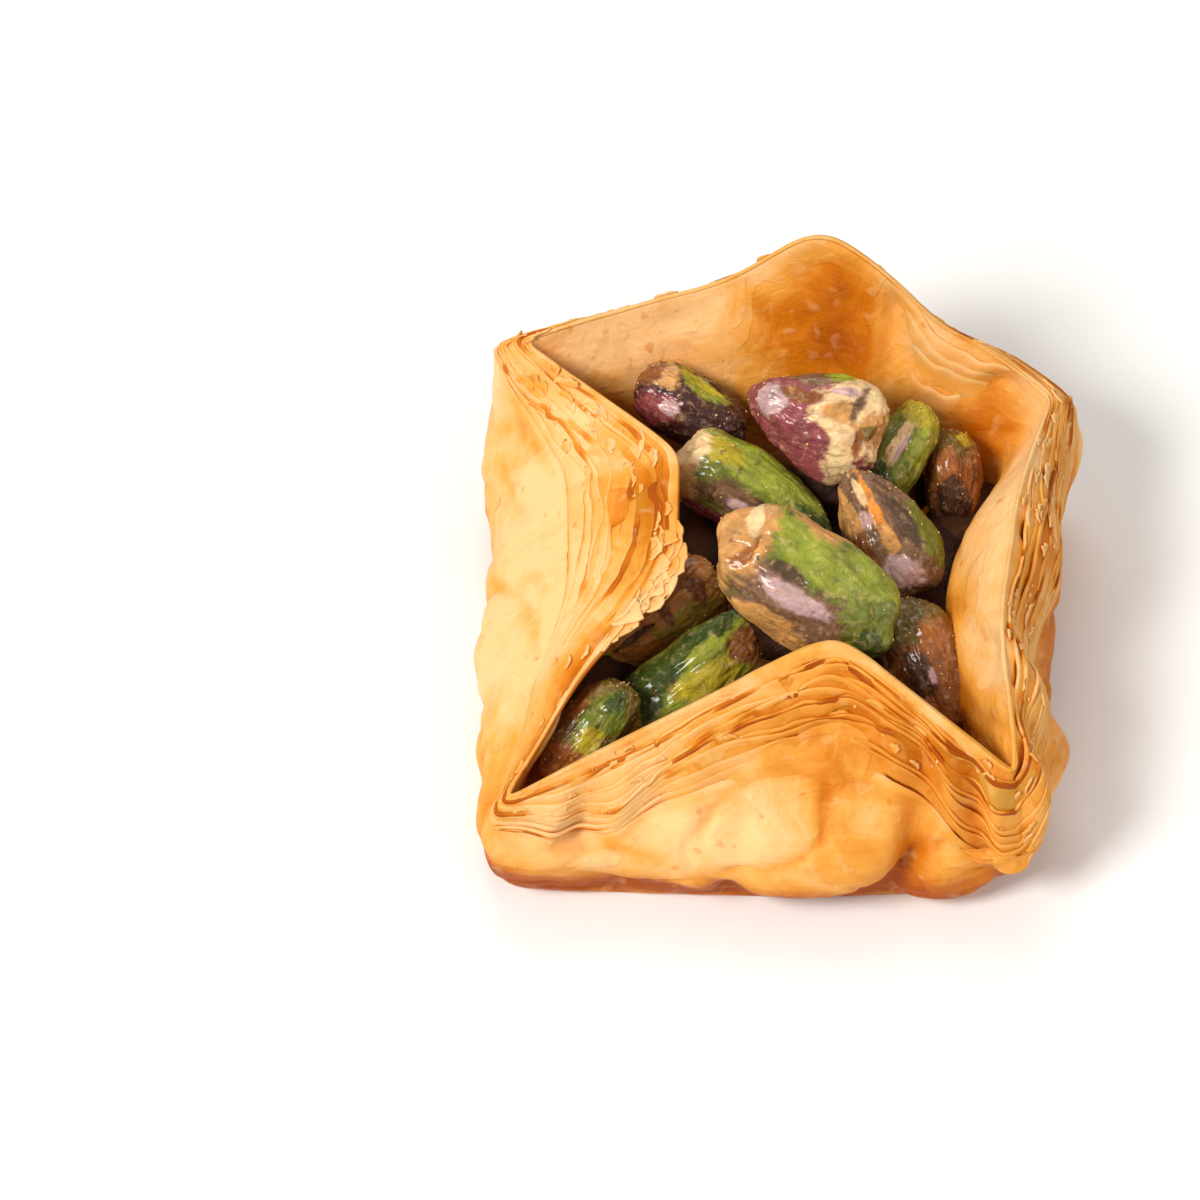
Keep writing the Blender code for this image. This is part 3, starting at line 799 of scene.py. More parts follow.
def build_inner_wall(look):
    """The innermost sheet: from the inner rim down the walls and across the floor."""
    middle = RINGS["inner_floor"].mean(axis=0)

    def place(along, across):
        places = along * SIDES
        share = np.clip(across / (1 - FLAT_SHARE), 0, 1)
        points = on_wall(INNER_WALL, places, share)
        puff = inner_puff(places, share, points)
        points = points + wall_normals(INNER_WALL, places, share) * puff[:, None]
        inside = across > 1 - FLAT_SHARE
        inwards = ((1 - across[inside]) / FLAT_SHARE)[:, None]
        points[inside] = middle + (points[inside] - middle) * inwards
        toast_and_shade = INNER_PALE + INNER_DARKENING * smooth_step(0.1, 0.6, share)
        toast_and_shade += spots(places, share, INNER_TOAST)
        facet = smooth_step(*FACET_TO, places) * smooth_step(*FACET_FROM, places)
        toast_and_shade -= FACET_PALER * facet * smooth_step(0.75, 0.45, share)
        return points, toast_and_shade

    work = folded_sheet(RIM_STEPS, INNER_ROWS, place)
    piece = add_piece("filo_inner_wall", work, filo_material("filo_wall"))
    thicken(piece, look.sheet_thickness)


# Sheets that end inside the basket: first and last place, share of the wall where they end
TERRACES = (
    (2.03, 2.34, 0.05),
    (2.05, 2.33, 0.11),
    (2.07, 2.30, 0.19),
    (2.12, 2.28, 0.30),
)
TERRACE_COLUMNS = 160
TERRACE_ROWS = 6
TERRACE_REACH = 0.16
TERRACE_TOAST = 0.30


def terrace_height(across, ends):
    """How far a terrace stands off the inner wall, in millimetres: most at its lip, sunk at its foot."""
    return ends * (0.27 - 0.22 * across**2) - 0.25 * across**2 - 0.2 * (1 - ends)


def build_terraces(look):
    """Sheets of the inner side that end a little lower than its rim, one over the other."""
    work = bmesh.new()
    for number, (first, last, lip) in enumerate(TERRACES):
        wander = rim_noise(6 * MM, number + 320) + 0.45 * rim_noise(1.6 * MM, number + 340)

        def place(along, across):
            places = first + (last - first) * along
            ends = np.minimum(smooth_step(0.0, 0.35, along), smooth_step(1.0, 0.6, along))
            share = lip + 0.05 * at_places(wander, places) - 0.04 * (1 - ends) + TERRACE_REACH * across
            points = on_wall(INNER_WALL, places, share)
            proud = inner_puff(places, share, points) + terrace_height(across, ends) * MM
            toast_and_shade = TERRACE_TOAST + 0.5 * spots(places, share, INNER_TOAST)
            # Each terrace is paler at its lip and darker at its foot, where painted shade stands for the
            # shade under the sheet above
            toast_and_shade += 0.4 * smooth_step(0.6, 1.0, across) - 0.25 * smooth_step(0.3, 0.0, across)
            return points + wall_normals(INNER_WALL, places, share) * proud[:, None], toast_and_shade

        merge_into(work, folded_sheet(TERRACE_COLUMNS, TERRACE_ROWS, place))
    piece = add_piece("filo_terraces", work, filo_material("filo_layers"))
    thicken(piece, look.layer_thickness)


# The stack of layers: rows across each, how far each runs in under the next, the pieces that they
# are dealt into, and their toasting
LAYER_ROWS = 8
LAYER_REACH = 3.0 * MM
LAYER_PIECES = 4
LAYER_PALE = 0.40
LAYER_TOAST = (
    (0.62, 0.40, 0.08, 0.40, 0.30),
    (0.15, 0.50, 0.12, 0.60, -0.18),
    (0.86, 0.50, 0.09, 0.60, 0.36),
    (1.62, 0.55, 0.20, 0.20, 0.45),
    (2.44, 0.50, 0.15, 0.60, 0.15),
    (3.44, 0.94, 0.11, 0.20, 0.70),
    (3.15, 0.50, 0.08, 0.60, -0.15),
    (3.55, 0.10, 0.35, 0.25, -0.25),
)

# Gaps between the layers' edges, drawn by chance, and how many notches each edge has, how deep
# and how wide round the rim
LAYER_GAPS = (0.4, 0.6, 1.0, 1.7)
TEARS = 6
TEAR_DEPTH = 0.5 * MM
TEAR_WIDTHS = (0.006, 0.05)

# Where the left flap's layers are fused into a smooth roll: from, and to
SEALED_FROM, SEALED_TO = (3.63, 3.70), (3.99, 3.95)


def tears(rng, how_many, depth):
    """Notches where a layer's edge has broken away: a depth for each step round the rim."""
    notch = np.zeros(RIM_STEPS)
    for _ in range(how_many):
        centre = rng.uniform(0, SIDES)
        width = rng.uniform(*TEAR_WIDTHS)
        away = np.abs((RIM_PLACES - centre + SIDES / 2) % SIDES - SIDES / 2)
        notch = np.maximum(notch, depth * rng.uniform(0.3, 1.0) * smooth_step(width, width * 0.2, away))
    return notch


def layer_edges(count, rng):
    """How far each layer's free edge lies from the outer rim: one row of the rim's steps per layer."""
    gaps = [rng.choice(LAYER_GAPS) for _ in range(count)]
    crowding = np.exp(0.9 * rim_noise(20 * MM, 60) + 0.6 * bump_at(RIM_PLACES, 1.5, 0.3))
    edges = []
    for number, share in enumerate(np.cumsum(gaps) / sum(gaps)):
        line = np.clip(share, 0, 1) ** crowding
        wander = 0.20 * rim_noise(13 * MM, number) + 0.08 * rim_noise(4.5 * MM, number + 40)
        line = np.clip(line + wander * 4 * line * (1 - line), 0.01, 1.0)
        edges.append(line * BAND_WIDTH)
    edges = np.maximum.accumulate(np.array(edges), axis=0)
    flaky = 0.5 + 1.6 * bump_at(RIM_PLACES, 3.35, 0.22)
    for number in range(count - 1):
        jag = 0.05 * rim_noise(0.9 * MM, number + 100) + 0.16 * rim_noise(3.0 * MM, number + 150)
        edges[number] += (jag * flaky) * MM - tears(rng, TEARS, TEAR_DEPTH)
    return np.maximum(edges, 0.05 * MM)


def layer_opening(number):
    """Where a layer stands open from the one below, from 0 to 1, for each step round the rim."""
    opened = rim_noise(9 * MM, number + 200) + 0.8 * rim_noise(3.2 * MM, number + 220)
    opened = smooth_step(0.0, 0.45, opened + 0.12 * bump_at(RIM_PLACES, 0.62, 0.12))
    return opened * (1 - 0.35 * bump_at(RIM_PLACES, 3.42, 0.25))


def layer_sheet(number, last, edge, edge_below, sealed, lip_lift):
    """One layer: its lip lifts and curls where it stands open, and painted shade darkens it in the crevices.
    """
    opened = layer_opening(number)
    ruffled = bump_at(RIM_PLACES, 0.20, 0.16) * max(1 - number / 5, 0)
    lift = 0.02 * MM + lip_lift * opened * (0.5 + ruffled)
    lift *= smooth_step(0.5 * MM, 4 * MM, BAND_WIDTH) * (1 - 0.9 * sealed)
    curl = 0.08 * MM * np.maximum(rim_noise(5 * MM, number + 250), 0) * (1 - sealed)
    slope = (0.06 + 0.26 * opened) * (1 - 0.6 * bump_at(RIM_PLACES, 3.45, 0.28))
    slope = slope * (1 - sealed) + 0.07 * sealed
    if last:
        lift, curl = lift * 0.2, curl * 0.2

    def place(along, across):
        places = along * SIDES
        width, lip = at_places(BAND_WIDTH, places), at_places(edge, places)
        below = (1 - across) ** 1.6 * np.minimum(LAYER_REACH, lip + 0.08 * MM)
        share = (lip - below) / width
        height = at_places(lift, places) * np.exp(-below / (0.9 * MM))
        height += at_places(curl, places) * np.exp(-below / (0.3 * MM))
        height += band_height(places, share) - at_places(slope, places) * below
        covered = at_places(sealed, places)
        # Painted shade: each layer is darkened in the crevice by the next layer's lip, most where the layers
        # stand open
        crevice_shade = (0.20 + 0.80 * at_places(opened, places)) * (1 - 0.95 * covered)
        from_crevice = share * width - at_places(edge_below, places)
        toast_and_shade = LAYER_PALE + spots(places, share, LAYER_TOAST)
        toast_and_shade += 0.95 * crevice_shade * smooth_step(0.28 * MM, -0.02 * MM, from_crevice)
        toast_and_shade -= (0.12 - 0.10 * covered) * smooth_step(0.40 * MM, 0.05 * MM, below)
        toast_and_shade += covered * 0.70 * smooth_step(0.35, 1.0, share)
        return on_band(places, share, height), toast_and_shade

    return folded_sheet(RIM_STEPS, LAYER_ROWS, place)


def build_layers(look):
    """The stack of layers whose cut edges show between the outer and the inner rim."""
    edges = layer_edges(look.layer_count, random.Random(11))
    edges_below = np.vstack((np.zeros(RIM_STEPS), edges[:-1]))
    sealed = smooth_step(*SEALED_FROM, RIM_PLACES) * smooth_step(*SEALED_TO, RIM_PLACES)
    works = [bmesh.new() for _ in range(LAYER_PIECES)]
    for number, (edge, edge_below) in enumerate(zip(edges, edges_below)):
        last = number == len(edges) - 1
        sheet = layer_sheet(number, last, edge, edge_below, sealed, look.lip_lift)
        merge_into(works[number % LAYER_PIECES], sheet)
    for number, work in enumerate(works):
        piece = add_piece(f"filo_layers_{number}", work, filo_material("filo_layers"))
        thicken(piece, look.layer_thickness)


# Where flakes have come loose: first and last place, first and last share, how many, their size
FLAKE_PATCHES = (
    (3.04, 3.34, 0.10, 0.80, 22, 1.2),
    (3.30, 3.52, 0.55, 0.90, 8, 0.9),
    (3.50, 3.66, 0.75, 1.02, 14, 1.8),
    (3.60, 3.68, 0.75, 1.00, 7, 2.6),
    (3.66, 3.98, 0.10, 0.90, 10, 0.8),
    (0.05, 0.60, 0.10, 0.90, 12, 0.7),
    (0.65, 1.00, 0.20, 0.90, 10, 0.7),
    (1.00, 1.95, 0.10, 0.90, 40, 1.0),
    (1.95, 3.00, 0.10, 0.90, 40, 1.0),
)

# A flake: its faces each way, least and greatest length and width for its size, how far it lifts and
# curls and how far its stuck side sinks in, in millimetres, its toasting, and its thickness as a
# share of a layer's
FLAKE_FACES = (9, 4)
FLAKE_LENGTHS, FLAKE_WIDTHS = (0.8, 2.2), (0.4, 0.9)
FLAKE_LIFTS, FLAKE_CURLS, FLAKE_SUNK = (0.00, 0.06), (0.00, 0.07), 0.12
FLAKE_TOASTS = (0.12, 0.38)
FLAKE_THICKNESS = 0.7

# Crumbs: how many there are for each flake, and their least and greatest size in millimetres, and
# the darkest toasting, among the flakes and on the kernels
CRUMBS_PER_FLAKE = 0.6
PASTRY_CRUMBS = (0.08, 0.22, 0.4)
KERNEL_CRUMBS = (0.05, 0.14, 0.1)


def band_frame(place, share):
    """A point on the stack of layers, with the directions along it, up across it and out of it."""
    places, shares = np.array((place, place + PROBE)), np.array((share, share))
    points = on_band(places, shares, band_height(places, shares))
    along = Vector(points[1] - points[0]).normalized()
    normal = Vector(at_places(BAND_OUT, places)[0]).normalized()
    return Vector(points[0]), along, normal.cross(along).normalized(), normal


def add_flake(work, rng, place, share, size):
    """One torn flake, stuck down along one side and curling up at the other."""
    point, along, up, out = band_frame(place, share)
    turn = rng.gauss(0, 0.3)
    length_way = along * math.cos(turn) + up * math.sin(turn)
    width_way = up * math.cos(turn) - along * math.sin(turn)
    length, width = (size * rng.uniform(*reach) * MM for reach in (FLAKE_LENGTHS, FLAKE_WIDTHS))
    lift, curl = (rng.uniform(*reach) * MM for reach in (FLAKE_LIFTS, FLAKE_CURLS))
    seed = rng.uniform(0, 100)
    flake, toast_and_shade = new_sheet(*FLAKE_FACES)
    base = rng.uniform(*FLAKE_TOASTS)
    for vert in flake.verts:
        x, y = vert.co.x, vert.co.y + 0.5
        ragged = 1 + 0.6 * noise.noise((x * 4 + seed, y * 3, seed))
        taper = math.sqrt(max(1 - (2 * x) ** 2 * 0.85, 0.02))
        rise = lift * y + curl * y**2 * (1 + 0.8 * noise.noise((x * 2.5, seed, 0.0)))
        rise -= FLAKE_SUNK * MM * (1 - y)
        vert.co = point + length_way * (x * length) + width_way * (y * width * ragged * taper) + out * rise
        vert[toast_and_shade] = base + 0.30 * (1 - y)
    merge_into(work, flake)


def add_crumb(work, rng, point, axes, smallest, largest, darkest):
    """One crumb of filo, lying on a surface; axes are two directions along it and one out of it."""
    along, up, out = axes
    crumb, toast_and_shade = filo_bmesh()
    bmesh.ops.create_icosphere(crumb, subdivisions=1, radius=1.0)
    size = [rng.uniform(smallest, largest) * MM for _ in range(3)]
    base = rng.uniform(0.0, darkest)
    for vert in crumb.verts:
        x, y, z = vert.co * rng.uniform(0.7, 1.2)
        vert.co = point + along * (x * size[0]) + up * (y * size[1]) + out * (z * size[2] * 0.6 + 0.05 * MM)
        vert[toast_and_shade] = base
    merge_into(work, crumb)


def build_flakes(look):
    """Torn flakes that curl off the layers, and the crumbs among them."""
    rng = random.Random(23)
    flakes, crumbs = bmesh.new(), bmesh.new()
    for first, last, low, high, many, size in FLAKE_PATCHES:
        for _ in range(round(many * look.flakiness)):
            add_flake(flakes, rng, rng.uniform(first, last), rng.uniform(low, high), size)
        for _ in range(round(many * look.flakiness * CRUMBS_PER_FLAKE)):
            point, *axes = band_frame(rng.uniform(first, last), rng.uniform(low, high))
            add_crumb(crumbs, rng, point, axes, *PASTRY_CRUMBS)
    piece = add_piece("filo_flakes", flakes, filo_material("filo_flakes"))
    thicken(piece, look.layer_thickness * FLAKE_THICKNESS, 0.0)
    add_piece("filo_crumbs", crumbs, filo_material("filo_flakes"))


# Kernels

GREEN = on_screen(110, 120, 14)
BRIGHT_GREEN = on_screen(148, 156, 36)
DARK_GREEN = on_screen(58, 80, 3)
YELLOW_GREEN = on_screen(184, 164, 22)
OLIVE = on_screen(114, 90, 18)
PURPLE = on_screen(148, 66, 70)
DARK_PURPLE = on_screen(66, 22, 14)
# Painted highlight: the lilac sheen where light catches the glazed skin
LILAC_HIGHLIGHT = on_screen(204, 164, 162)
TAN = on_screen(214, 152, 80)
CREAM = on_screen(250, 208, 152)
GREY_BROWN = on_screen(124, 86, 56)
DARK_GREY = on_screen(86, 60, 36)
BROWN = on_screen(142, 78, 20)
DARK_BROWN = on_screen(72, 34, 8)
IN_SHADE = on_screen(44, 18, 3)
ORANGE_BROWN = on_screen(164, 92, 26)
OCHRE = on_screen(176, 138, 36)
RUSSET = on_screen(214, 136, 54)
ORANGE = on_screen(232, 142, 46)

# Each kernel: the record's slot, how far it is turned as seen, its taper, its main colour, its
# patches and its lumps. A patch is its place along and across the kernel as seen, how far it
# reaches each way, its colour and how far it stands up, in millimetres. A lump is a direction along,
# across and towards the eye, its spread and how far it stands out, as a share of the kernel's size.
# The lilac patches are painted highlights.
KERNELS = {
    "middle": ("kernel_green", -31, 0.06, GREEN, (
        ((0.25, 0.55), (1.00, 0.46), BRIGHT_GREEN, 0.00),
        ((0.82, 0.00), (0.34, 0.62), GREEN, 0.00),
        ((0.88, -0.25), (0.14, 0.26), DARK_GREEN, 0.00),
        ((-0.15, -0.45), (0.78, 0.56), GREY_BROWN, -0.06),
        ((-0.92, 0.00), (0.36, 1.10), TAN, 0.10),
        ((-0.45, 0.98), (0.50, 0.22), TAN, 0.12),
        ((-0.30, -1.02), (0.85, 0.28), TAN, 0.10),
        ((-0.80, 0.42), (0.07, 0.28), CREAM, 0.05),
        ((-0.72, -0.10), (0.06, 0.30), ORANGE_BROWN, -0.06),
        ((-0.28, 0.02), (0.26, 0.13), DARK_GREY, -0.15),
        ((-0.05, -0.28), (0.42, 0.20), LILAC_HIGHLIGHT, -0.05),
        ((0.42, -0.62), (0.26, 0.22), GREY_BROWN, -0.04),
    ), (((1.0, -0.5, 0.2), 0.5, -0.07), ((-1.0, 0.5, 0.3), 0.5, 0.05), ((-0.2, 0.1, 1.0), 0.35, -0.05))),
    "back_left": ("kernel_green", -28, 0.24, GREEN, (
        ((0.05, 0.55), (0.85, 0.40), BRIGHT_GREEN, 0.00),
        ((-0.55, 0.45), (0.26, 0.30), YELLOW_GREEN, 0.00),
        ((-0.95, -0.05), (0.34, 0.60), CREAM, 0.08),
        ((-0.78, -0.55), (0.28, 0.40), TAN, 0.05),
        ((-0.10, -0.42), (0.50, 0.38), GREY_BROWN, -0.08),
        ((-0.05, -0.45), (0.18, 0.14), LILAC_HIGHLIGHT, -0.04),
        ((-0.35, -0.95), (0.50, 0.28), PURPLE, 0.00),
        ((0.75, -0.10), (0.30, 0.50), DARK_GREEN, 0.00),
    ), (((-0.1, -0.5, 1.0), 0.35, -0.08), ((-0.8, -0.5, 0.2), 0.4, 0.06))),
    "back_middle": ("kernel_purple", -14, -0.16, PURPLE, (
        ((0.62, 0.35), (0.66, 0.80), CREAM, 0.06),
        ((0.45, -0.50), (0.22, 0.55), CREAM, 0.06),
        ((0.80, 0.10), (0.25, 0.30), TAN, -0.06),
        ((0.30, 0.25), (0.22, 0.20), TAN, -0.05),
        ((-0.30, 0.90), (0.50, 0.18), GREY_BROWN, 0.05),
        ((0.15, 0.95), (0.18, 0.12), BRIGHT_GREEN, 0.00),
        ((0.72, 0.00), (0.12, 0.14), OLIVE, -0.04),
        ((0.50, 0.45), (0.07, 0.30), GREY_BROWN, -0.08),
        ((0.62, -0.25), (0.06, 0.26), ORANGE_BROWN, -0.08),
        ((0.30, 0.62), (0.20, 0.09), LILAC_HIGHLIGHT, 0.03),
        ((-0.72, 0.10), (0.20, 0.40), LILAC_HIGHLIGHT, 0.00),
        ((-0.30, 0.42), (0.30, 0.16), BROWN, -0.04),
    ), (((0.2, -1.0, 0.1), 0.45, 0.28), ((-0.6, -0.8, 0.0), 0.5, -0.14), ((0.7, 0.7, 0.3), 0.45, 0.10),
        ((0.3, 0.2, 1.0), 0.30, -0.07))),
    "back_corner": ("kernel_purple", -28, 0.05, DARK_PURPLE, (
        ((-0.05, 0.70), (0.55, 0.24), BRIGHT_GREEN, -0.06),
        ((-0.10, 0.82), (0.50, 0.12), YELLOW_GREEN, 0.00),
        ((-0.68, 0.45), (0.30, 0.40), TAN, 0.08),
        ((-0.90, 0.50), (0.20, 0.60), BROWN, 0.10),
        ((-0.52, -0.40), (0.36, 0.42), PURPLE, 0.00),
        ((-0.35, -0.30), (0.18, 0.20), LILAC_HIGHLIGHT, 0.00),
    ), (((0.0, 0.8, 0.6), 0.35, -0.10), ((-0.8, 0.5, 0.3), 0.3, 0.10))),
    "right": ("kernel_brown", -62, -0.26, GREY_BROWN, (
        ((0.35, 0.90), (0.75, 0.34), GREEN, 0.00),
        ((-0.10, 0.55), (0.50, 0.22), DARK_GREY, -0.06),
        ((-0.35, 0.02), (0.62, 0.13), ORANGE, 0.12),
        ((-0.72, -0.12), (0.22, 0.10), CREAM, 0.12),
        ((0.10, 0.05), (0.24, 0.22), TAN, 0.03),
        ((-0.38, -0.30), (0.14, 0.16), LILAC_HIGHLIGHT, 0.00),
        ((-0.55, -0.65), (0.40, 0.25), TAN, 0.00),
        ((0.30, -0.60), (0.50, 0.30), BROWN, 0.00),
        ((0.60, 0.00), (0.30, 0.35), LILAC_HIGHLIGHT, 0.00),
    ), (((-1.0, 0.0, 0.0), 0.35, 0.12), ((0.2, 0.9, 0.2), 0.5, 0.06), ((0.0, 0.4, 0.9), 0.3, -0.05))),
    "right_back": ("kernel_green", 62, 0.05, GREEN, (
        ((0.15, 0.10), (0.60, 0.24), CREAM, 0.08),
        ((0.10, -0.05), (0.30, 0.12), LILAC_HIGHLIGHT, 0.08),
        ((0.35, -0.55), (0.50, 0.35), BRIGHT_GREEN, 0.00),
        ((-0.70, 0.10), (0.36, 0.60), DARK_GREEN, 0.00),
        ((0.85, 0.00), (0.25, 0.60), YELLOW_GREEN, 0.00),
    ), (((0.2, 0.2, 1.0), 0.3, -0.10), ((-0.6, 0.7, 0.2), 0.4, 0.10))),
    "far_right": ("kernel_brown", 94, 0.05, BROWN, (
        ((0.75, 0.00), (0.36, 0.80), OLIVE, 0.00),
        ((0.85, -0.40), (0.20, 0.30), YELLOW_GREEN, 0.00),
        ((0.20, 0.20), (0.40, 0.40), ORANGE_BROWN, 0.06),
        ((-0.40, 0.00), (0.40, 0.60), DARK_BROWN, 0.00),
    ), (((0.2, 0.5, 0.8), 0.3, 0.08),)),
    "right_front": ("kernel_brown", -64, 0.10, BROWN, (
        ((-0.75, 0.00), (0.45, 0.80), OLIVE, 0.00),
        ((-0.35, 0.35), (0.35, 0.30), ORANGE_BROWN, 0.05),
        ((0.10, -0.20), (0.40, 0.40), DARK_BROWN, 0.00),
        ((0.20, 0.05), (0.14, 0.10), LILAC_HIGHLIGHT, 0.00),
        ((0.90, 0.10), (0.36, 0.90), ORANGE_BROWN, 0.08),
        ((0.60, 0.70), (0.30, 0.30), BROWN, 0.05),
    ), (((0.2, 0.3, 0.9), 0.3, -0.10), ((1.0, 0.3, 0.2), 0.3, 0.10))),
    "left": ("kernel_brown", 38, -0.10, RUSSET, (
        ((0.35, 0.50), (0.40, 0.30), ORANGE_BROWN, -0.05),
        ((0.30, -0.45), (0.55, 0.30), OCHRE, 0.00),
        ((-0.75, 0.00), (0.45, 0.90), RUSSET, 0.08),
        ((-0.95, -0.10), (0.12, 0.16), YELLOW_GREEN, 0.00),
        ((-0.40, -0.10), (0.30, 0.10), DARK_BROWN, -0.15),
        ((0.60, 0.00), (0.10, 0.40), BROWN, -0.08),
        ((0.10, 0.10), (0.08, 0.45), BROWN, -0.08),
    ), (((-0.4, -0.1, 1.0), 0.2, -0.12), ((0.2, 0.5, 0.9), 0.25, -0.10), ((-1.0, 0.1, 0.2), 0.3, 0.10))),
    "left_front": ("kernel_green", 40, -0.06, BRIGHT_GREEN, (
        ((-0.35, 0.45), (0.42, 0.45), DARK_GREEN, 0.05),
        ((0.15, 0.55), (0.40, 0.40), DARK_GREEN, 0.05),
        ((-0.60, 0.00), (0.25, 0.50), DARK_GREEN, 0.05),
        ((-0.92, -0.10), (0.24, 0.80), YELLOW_GREEN, 0.00),
        ((0.25, -0.40), (0.50, 0.52), YELLOW_GREEN, 0.00),
        ((0.40, 0.15), (0.30, 0.30), BRIGHT_GREEN, 0.06),
        ((0.72, 0.50), (0.20, 0.25), DARK_GREEN, 0.00),
        ((0.85, -0.30), (0.28, 0.50), BROWN, 0.00),
    ), (((0.0, 0.2, 1.0), 0.25, -0.10), ((-0.5, 0.4, 0.8), 0.25, 0.09), ((0.4, 0.2, 0.9), 0.25, 0.09),
        ((0.7, -0.2, 0.7), 0.25, -0.09))),
    "front_corner": ("kernel_green", 52, -0.10, OLIVE, (
        ((0.20, -0.10), (0.60, 0.60), GREEN, 0.00),
        ((-0.20, -0.30), (0.35, 0.40), YELLOW_GREEN, 0.00),
        ((0.10, 0.85), (0.80, 0.28), BROWN, 0.05),
        ((-0.80, 0.00), (0.38, 0.90), ORANGE_BROWN, 0.10),
        ((0.60, -0.10), (0.25, 0.25), DARK_GREEN, 0.00),
    ), (((-0.7, -0.2, 0.8), 0.2, -0.10), ((-1.0, 0.0, 0.2), 0.3, 0.10))),
}

# How full the kernels' ends are, how thin their very tips, and how high the photograph's eye stands
KERNEL_FULLNESS = 2.35
KERNEL_TIP = 0.01
SIGHT_ELEVATION = math.radians(55)

# Lumps of a kernel's own shape, of the ragged edges of its patches and of its shading: amount, size
# and seed, which is added to the kernel's own. Its wrinkles are in millimetres, drawn out lengthwise.
SWELLS = ((0.12, 0.85, 0), (0.09, 0.40, 20))
RAGGED = ((0.34, 0.45, 80), (0.26, 0.15, 90), (0.20, 0.06, 95))
SHADES = ((0.35, 0.25, 70), (0.30, 0.08, 75))
WRINKLES, WRINKLE_STRETCH = ((0.12, 0.09, 40),), (5.0, 1.0, 1.0)
PIMPLES = ((0.05, 0.06, 60),)
CREASES, CREASE_DEPTH = ((4.0, 1.0, 1.0), 0.26, 0.08), 0.07
CREASE_SEED = 65

# The seam between a kernel's halves: how far below its middle, its width squared and its depth
SEAM_DROP, SEAM_SPREAD, SEAM_DEPTH = 0.25, 0.01, 0.07

# Where a patch of colour ends and where it is full, as shares of its reach
PATCH_EDGE = (1.15, 0.85)


def seeded(lumps, seed):
    """Lumps with a kernel's own seed added to theirs."""
    return [(height, scale, own + seed) for height, scale, own in lumps]


def sight_axes():
    """Image right, image up and the direction to the eye, for the photograph's view."""
    right = Vector((1, 0, 0))
    sight = Vector((0, -math.cos(SIGHT_ELEVATION), math.sin(SIGHT_ELEVATION)))
    return right, sight.cross(right), sight


def kernel_place(node, turned):
    """A kernel's middle, its three directions as seen, and its half sizes along them."""
    right, up, sight = sight_axes()
    angle = math.radians(turned)
    length = right * math.cos(angle) + up * math.sin(angle)
    width = up * math.cos(angle) - right * math.sin(angle)
    axes = np.array((length, width, sight))
    points = np.array([vert.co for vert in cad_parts[node].data.vertices]) @ axes.T
    low, high = points.min(axis=0), points.max(axis=0)
    return (low + high) / 2 @ axes, axes, (high - low) / 2


def kernel_skin(unit, base, patches, seed):
    """The kernel's colour and relief at each point: its main colour, then each patch, ragged-edged."""
    colour = np.tile(np.array(base), (len(unit), 1))
    relief = np.zeros(len(unit))
    ragged = ruffles(unit, seeded(RAGGED, seed))
    for (along, across), (reach, girth), patch, height in patches:
        away = np.hypot((unit[:, 0] - along) / reach, (unit[:, 1] - across) / girth)
        share = smooth_step(*PATCH_EDGE, away + ragged)
        colour = colour * (1 - share[:, None]) + np.array(patch) * share[:, None]
        relief = relief * (1 - share) + height * share
    shade = 1 + ruffles(unit, seeded(SHADES, seed))
    return np.clip(colour * shade[:, None], 0, 1), relief


def kernel_shape(unit, half, taper, lumps, seed):
    """The kernel without its skin: fuller than an egg, tapered, lumpy, with a seam along its side."""
    x, y, z = unit.T
    roundness = np.sqrt(np.maximum(1 - x**2, TINY))
    fullness = np.maximum(1 - np.abs(x) ** KERNEL_FULLNESS, 0) ** (1 / KERNEL_FULLNESS)
    girth = np.where(roundness > KERNEL_TIP, fullness / roundness, 1.0) * (1 - taper * x)
    swell = ruffles(unit, seeded(SWELLS, seed))
    swell -= SEAM_DEPTH * np.exp(-((z + SEAM_DROP) ** 2) / SEAM_SPREAD) * np.maximum(y, 0) ** 2
    for direction, spread, amount in lumps:
        aim = np.array(direction) / np.linalg.norm(direction)
        swell += amount * np.exp(-0.5 * ((unit - aim) ** 2).sum(axis=1) / spread**2)
    return np.stack((x, y * girth, z * girth), axis=1) * half * (1 + swell[:, None])


def kernel_bmesh(middle, axes, half, taper, base, patches, lumps, seed, segments, rings):
    """One kernel at full detail: its lumps, its wrinkled skin, its seam and its colours."""
    work = bmesh.new()
    bmesh.ops.create_uvsphere(work, u_segments=segments, v_segments=rings, radius=1.0)
    bmesh.ops.rotate(work, verts=work.verts, matrix=Matrix.Rotation(math.pi / 2, 3, "Y"))
    unit = np.array([vert.co for vert in work.verts])
    shape = kernel_shape(unit, half, taper, lumps, seed)
    colour, relief = kernel_skin(unit, base, patches, seed)
    relief += ruffles(unit / WRINKLE_STRETCH, seeded(WRINKLES, seed)) + ruffles(unit, seeded(PIMPLES, seed))
    relief -= CREASE_DEPTH * creases(unit, *CREASES, CREASE_SEED + seed)
    outward = shape / np.linalg.norm(shape, axis=1)[:, None]
    points = middle + (shape + outward * relief[:, None] * MM) @ axes
    layer = work.verts.layers.float_color.new("skin")
    for vert, point, value in zip(work.verts, points.tolist(), colour.tolist()):
        vert.co = point
        vert[layer] = opaque(value)
    return work


# The nut skin's noises: lumps a metre, detail, roughness and distortion
MOTTLE_NOISE = (1500.0, 5.0, 0.7, 0.5)
VEIN_NOISE = (520.0, 6.0, 0.7, 1.4)
SKIN_ROUGHNESS = (0.28, 0.55)
SKIN_DEPTH = 0.40 * MM
SKIN_SURFACE = {
    "Subsurface Weight": 0.15,
    "Subsurface Radius": (0.8, 0.6, 0.2),
    "Subsurface Scale": 0.8 * MM,
    "Specular IOR Level": 0.35,
    "Coat Roughness": 0.12,
}

# How strongly each nut material is mottled, and how much painted shade darkens it for lying deep in the heap
TOP_NUTS = (1.0, 0.0)
LOWER_NUTS = (0.5, 0.75)


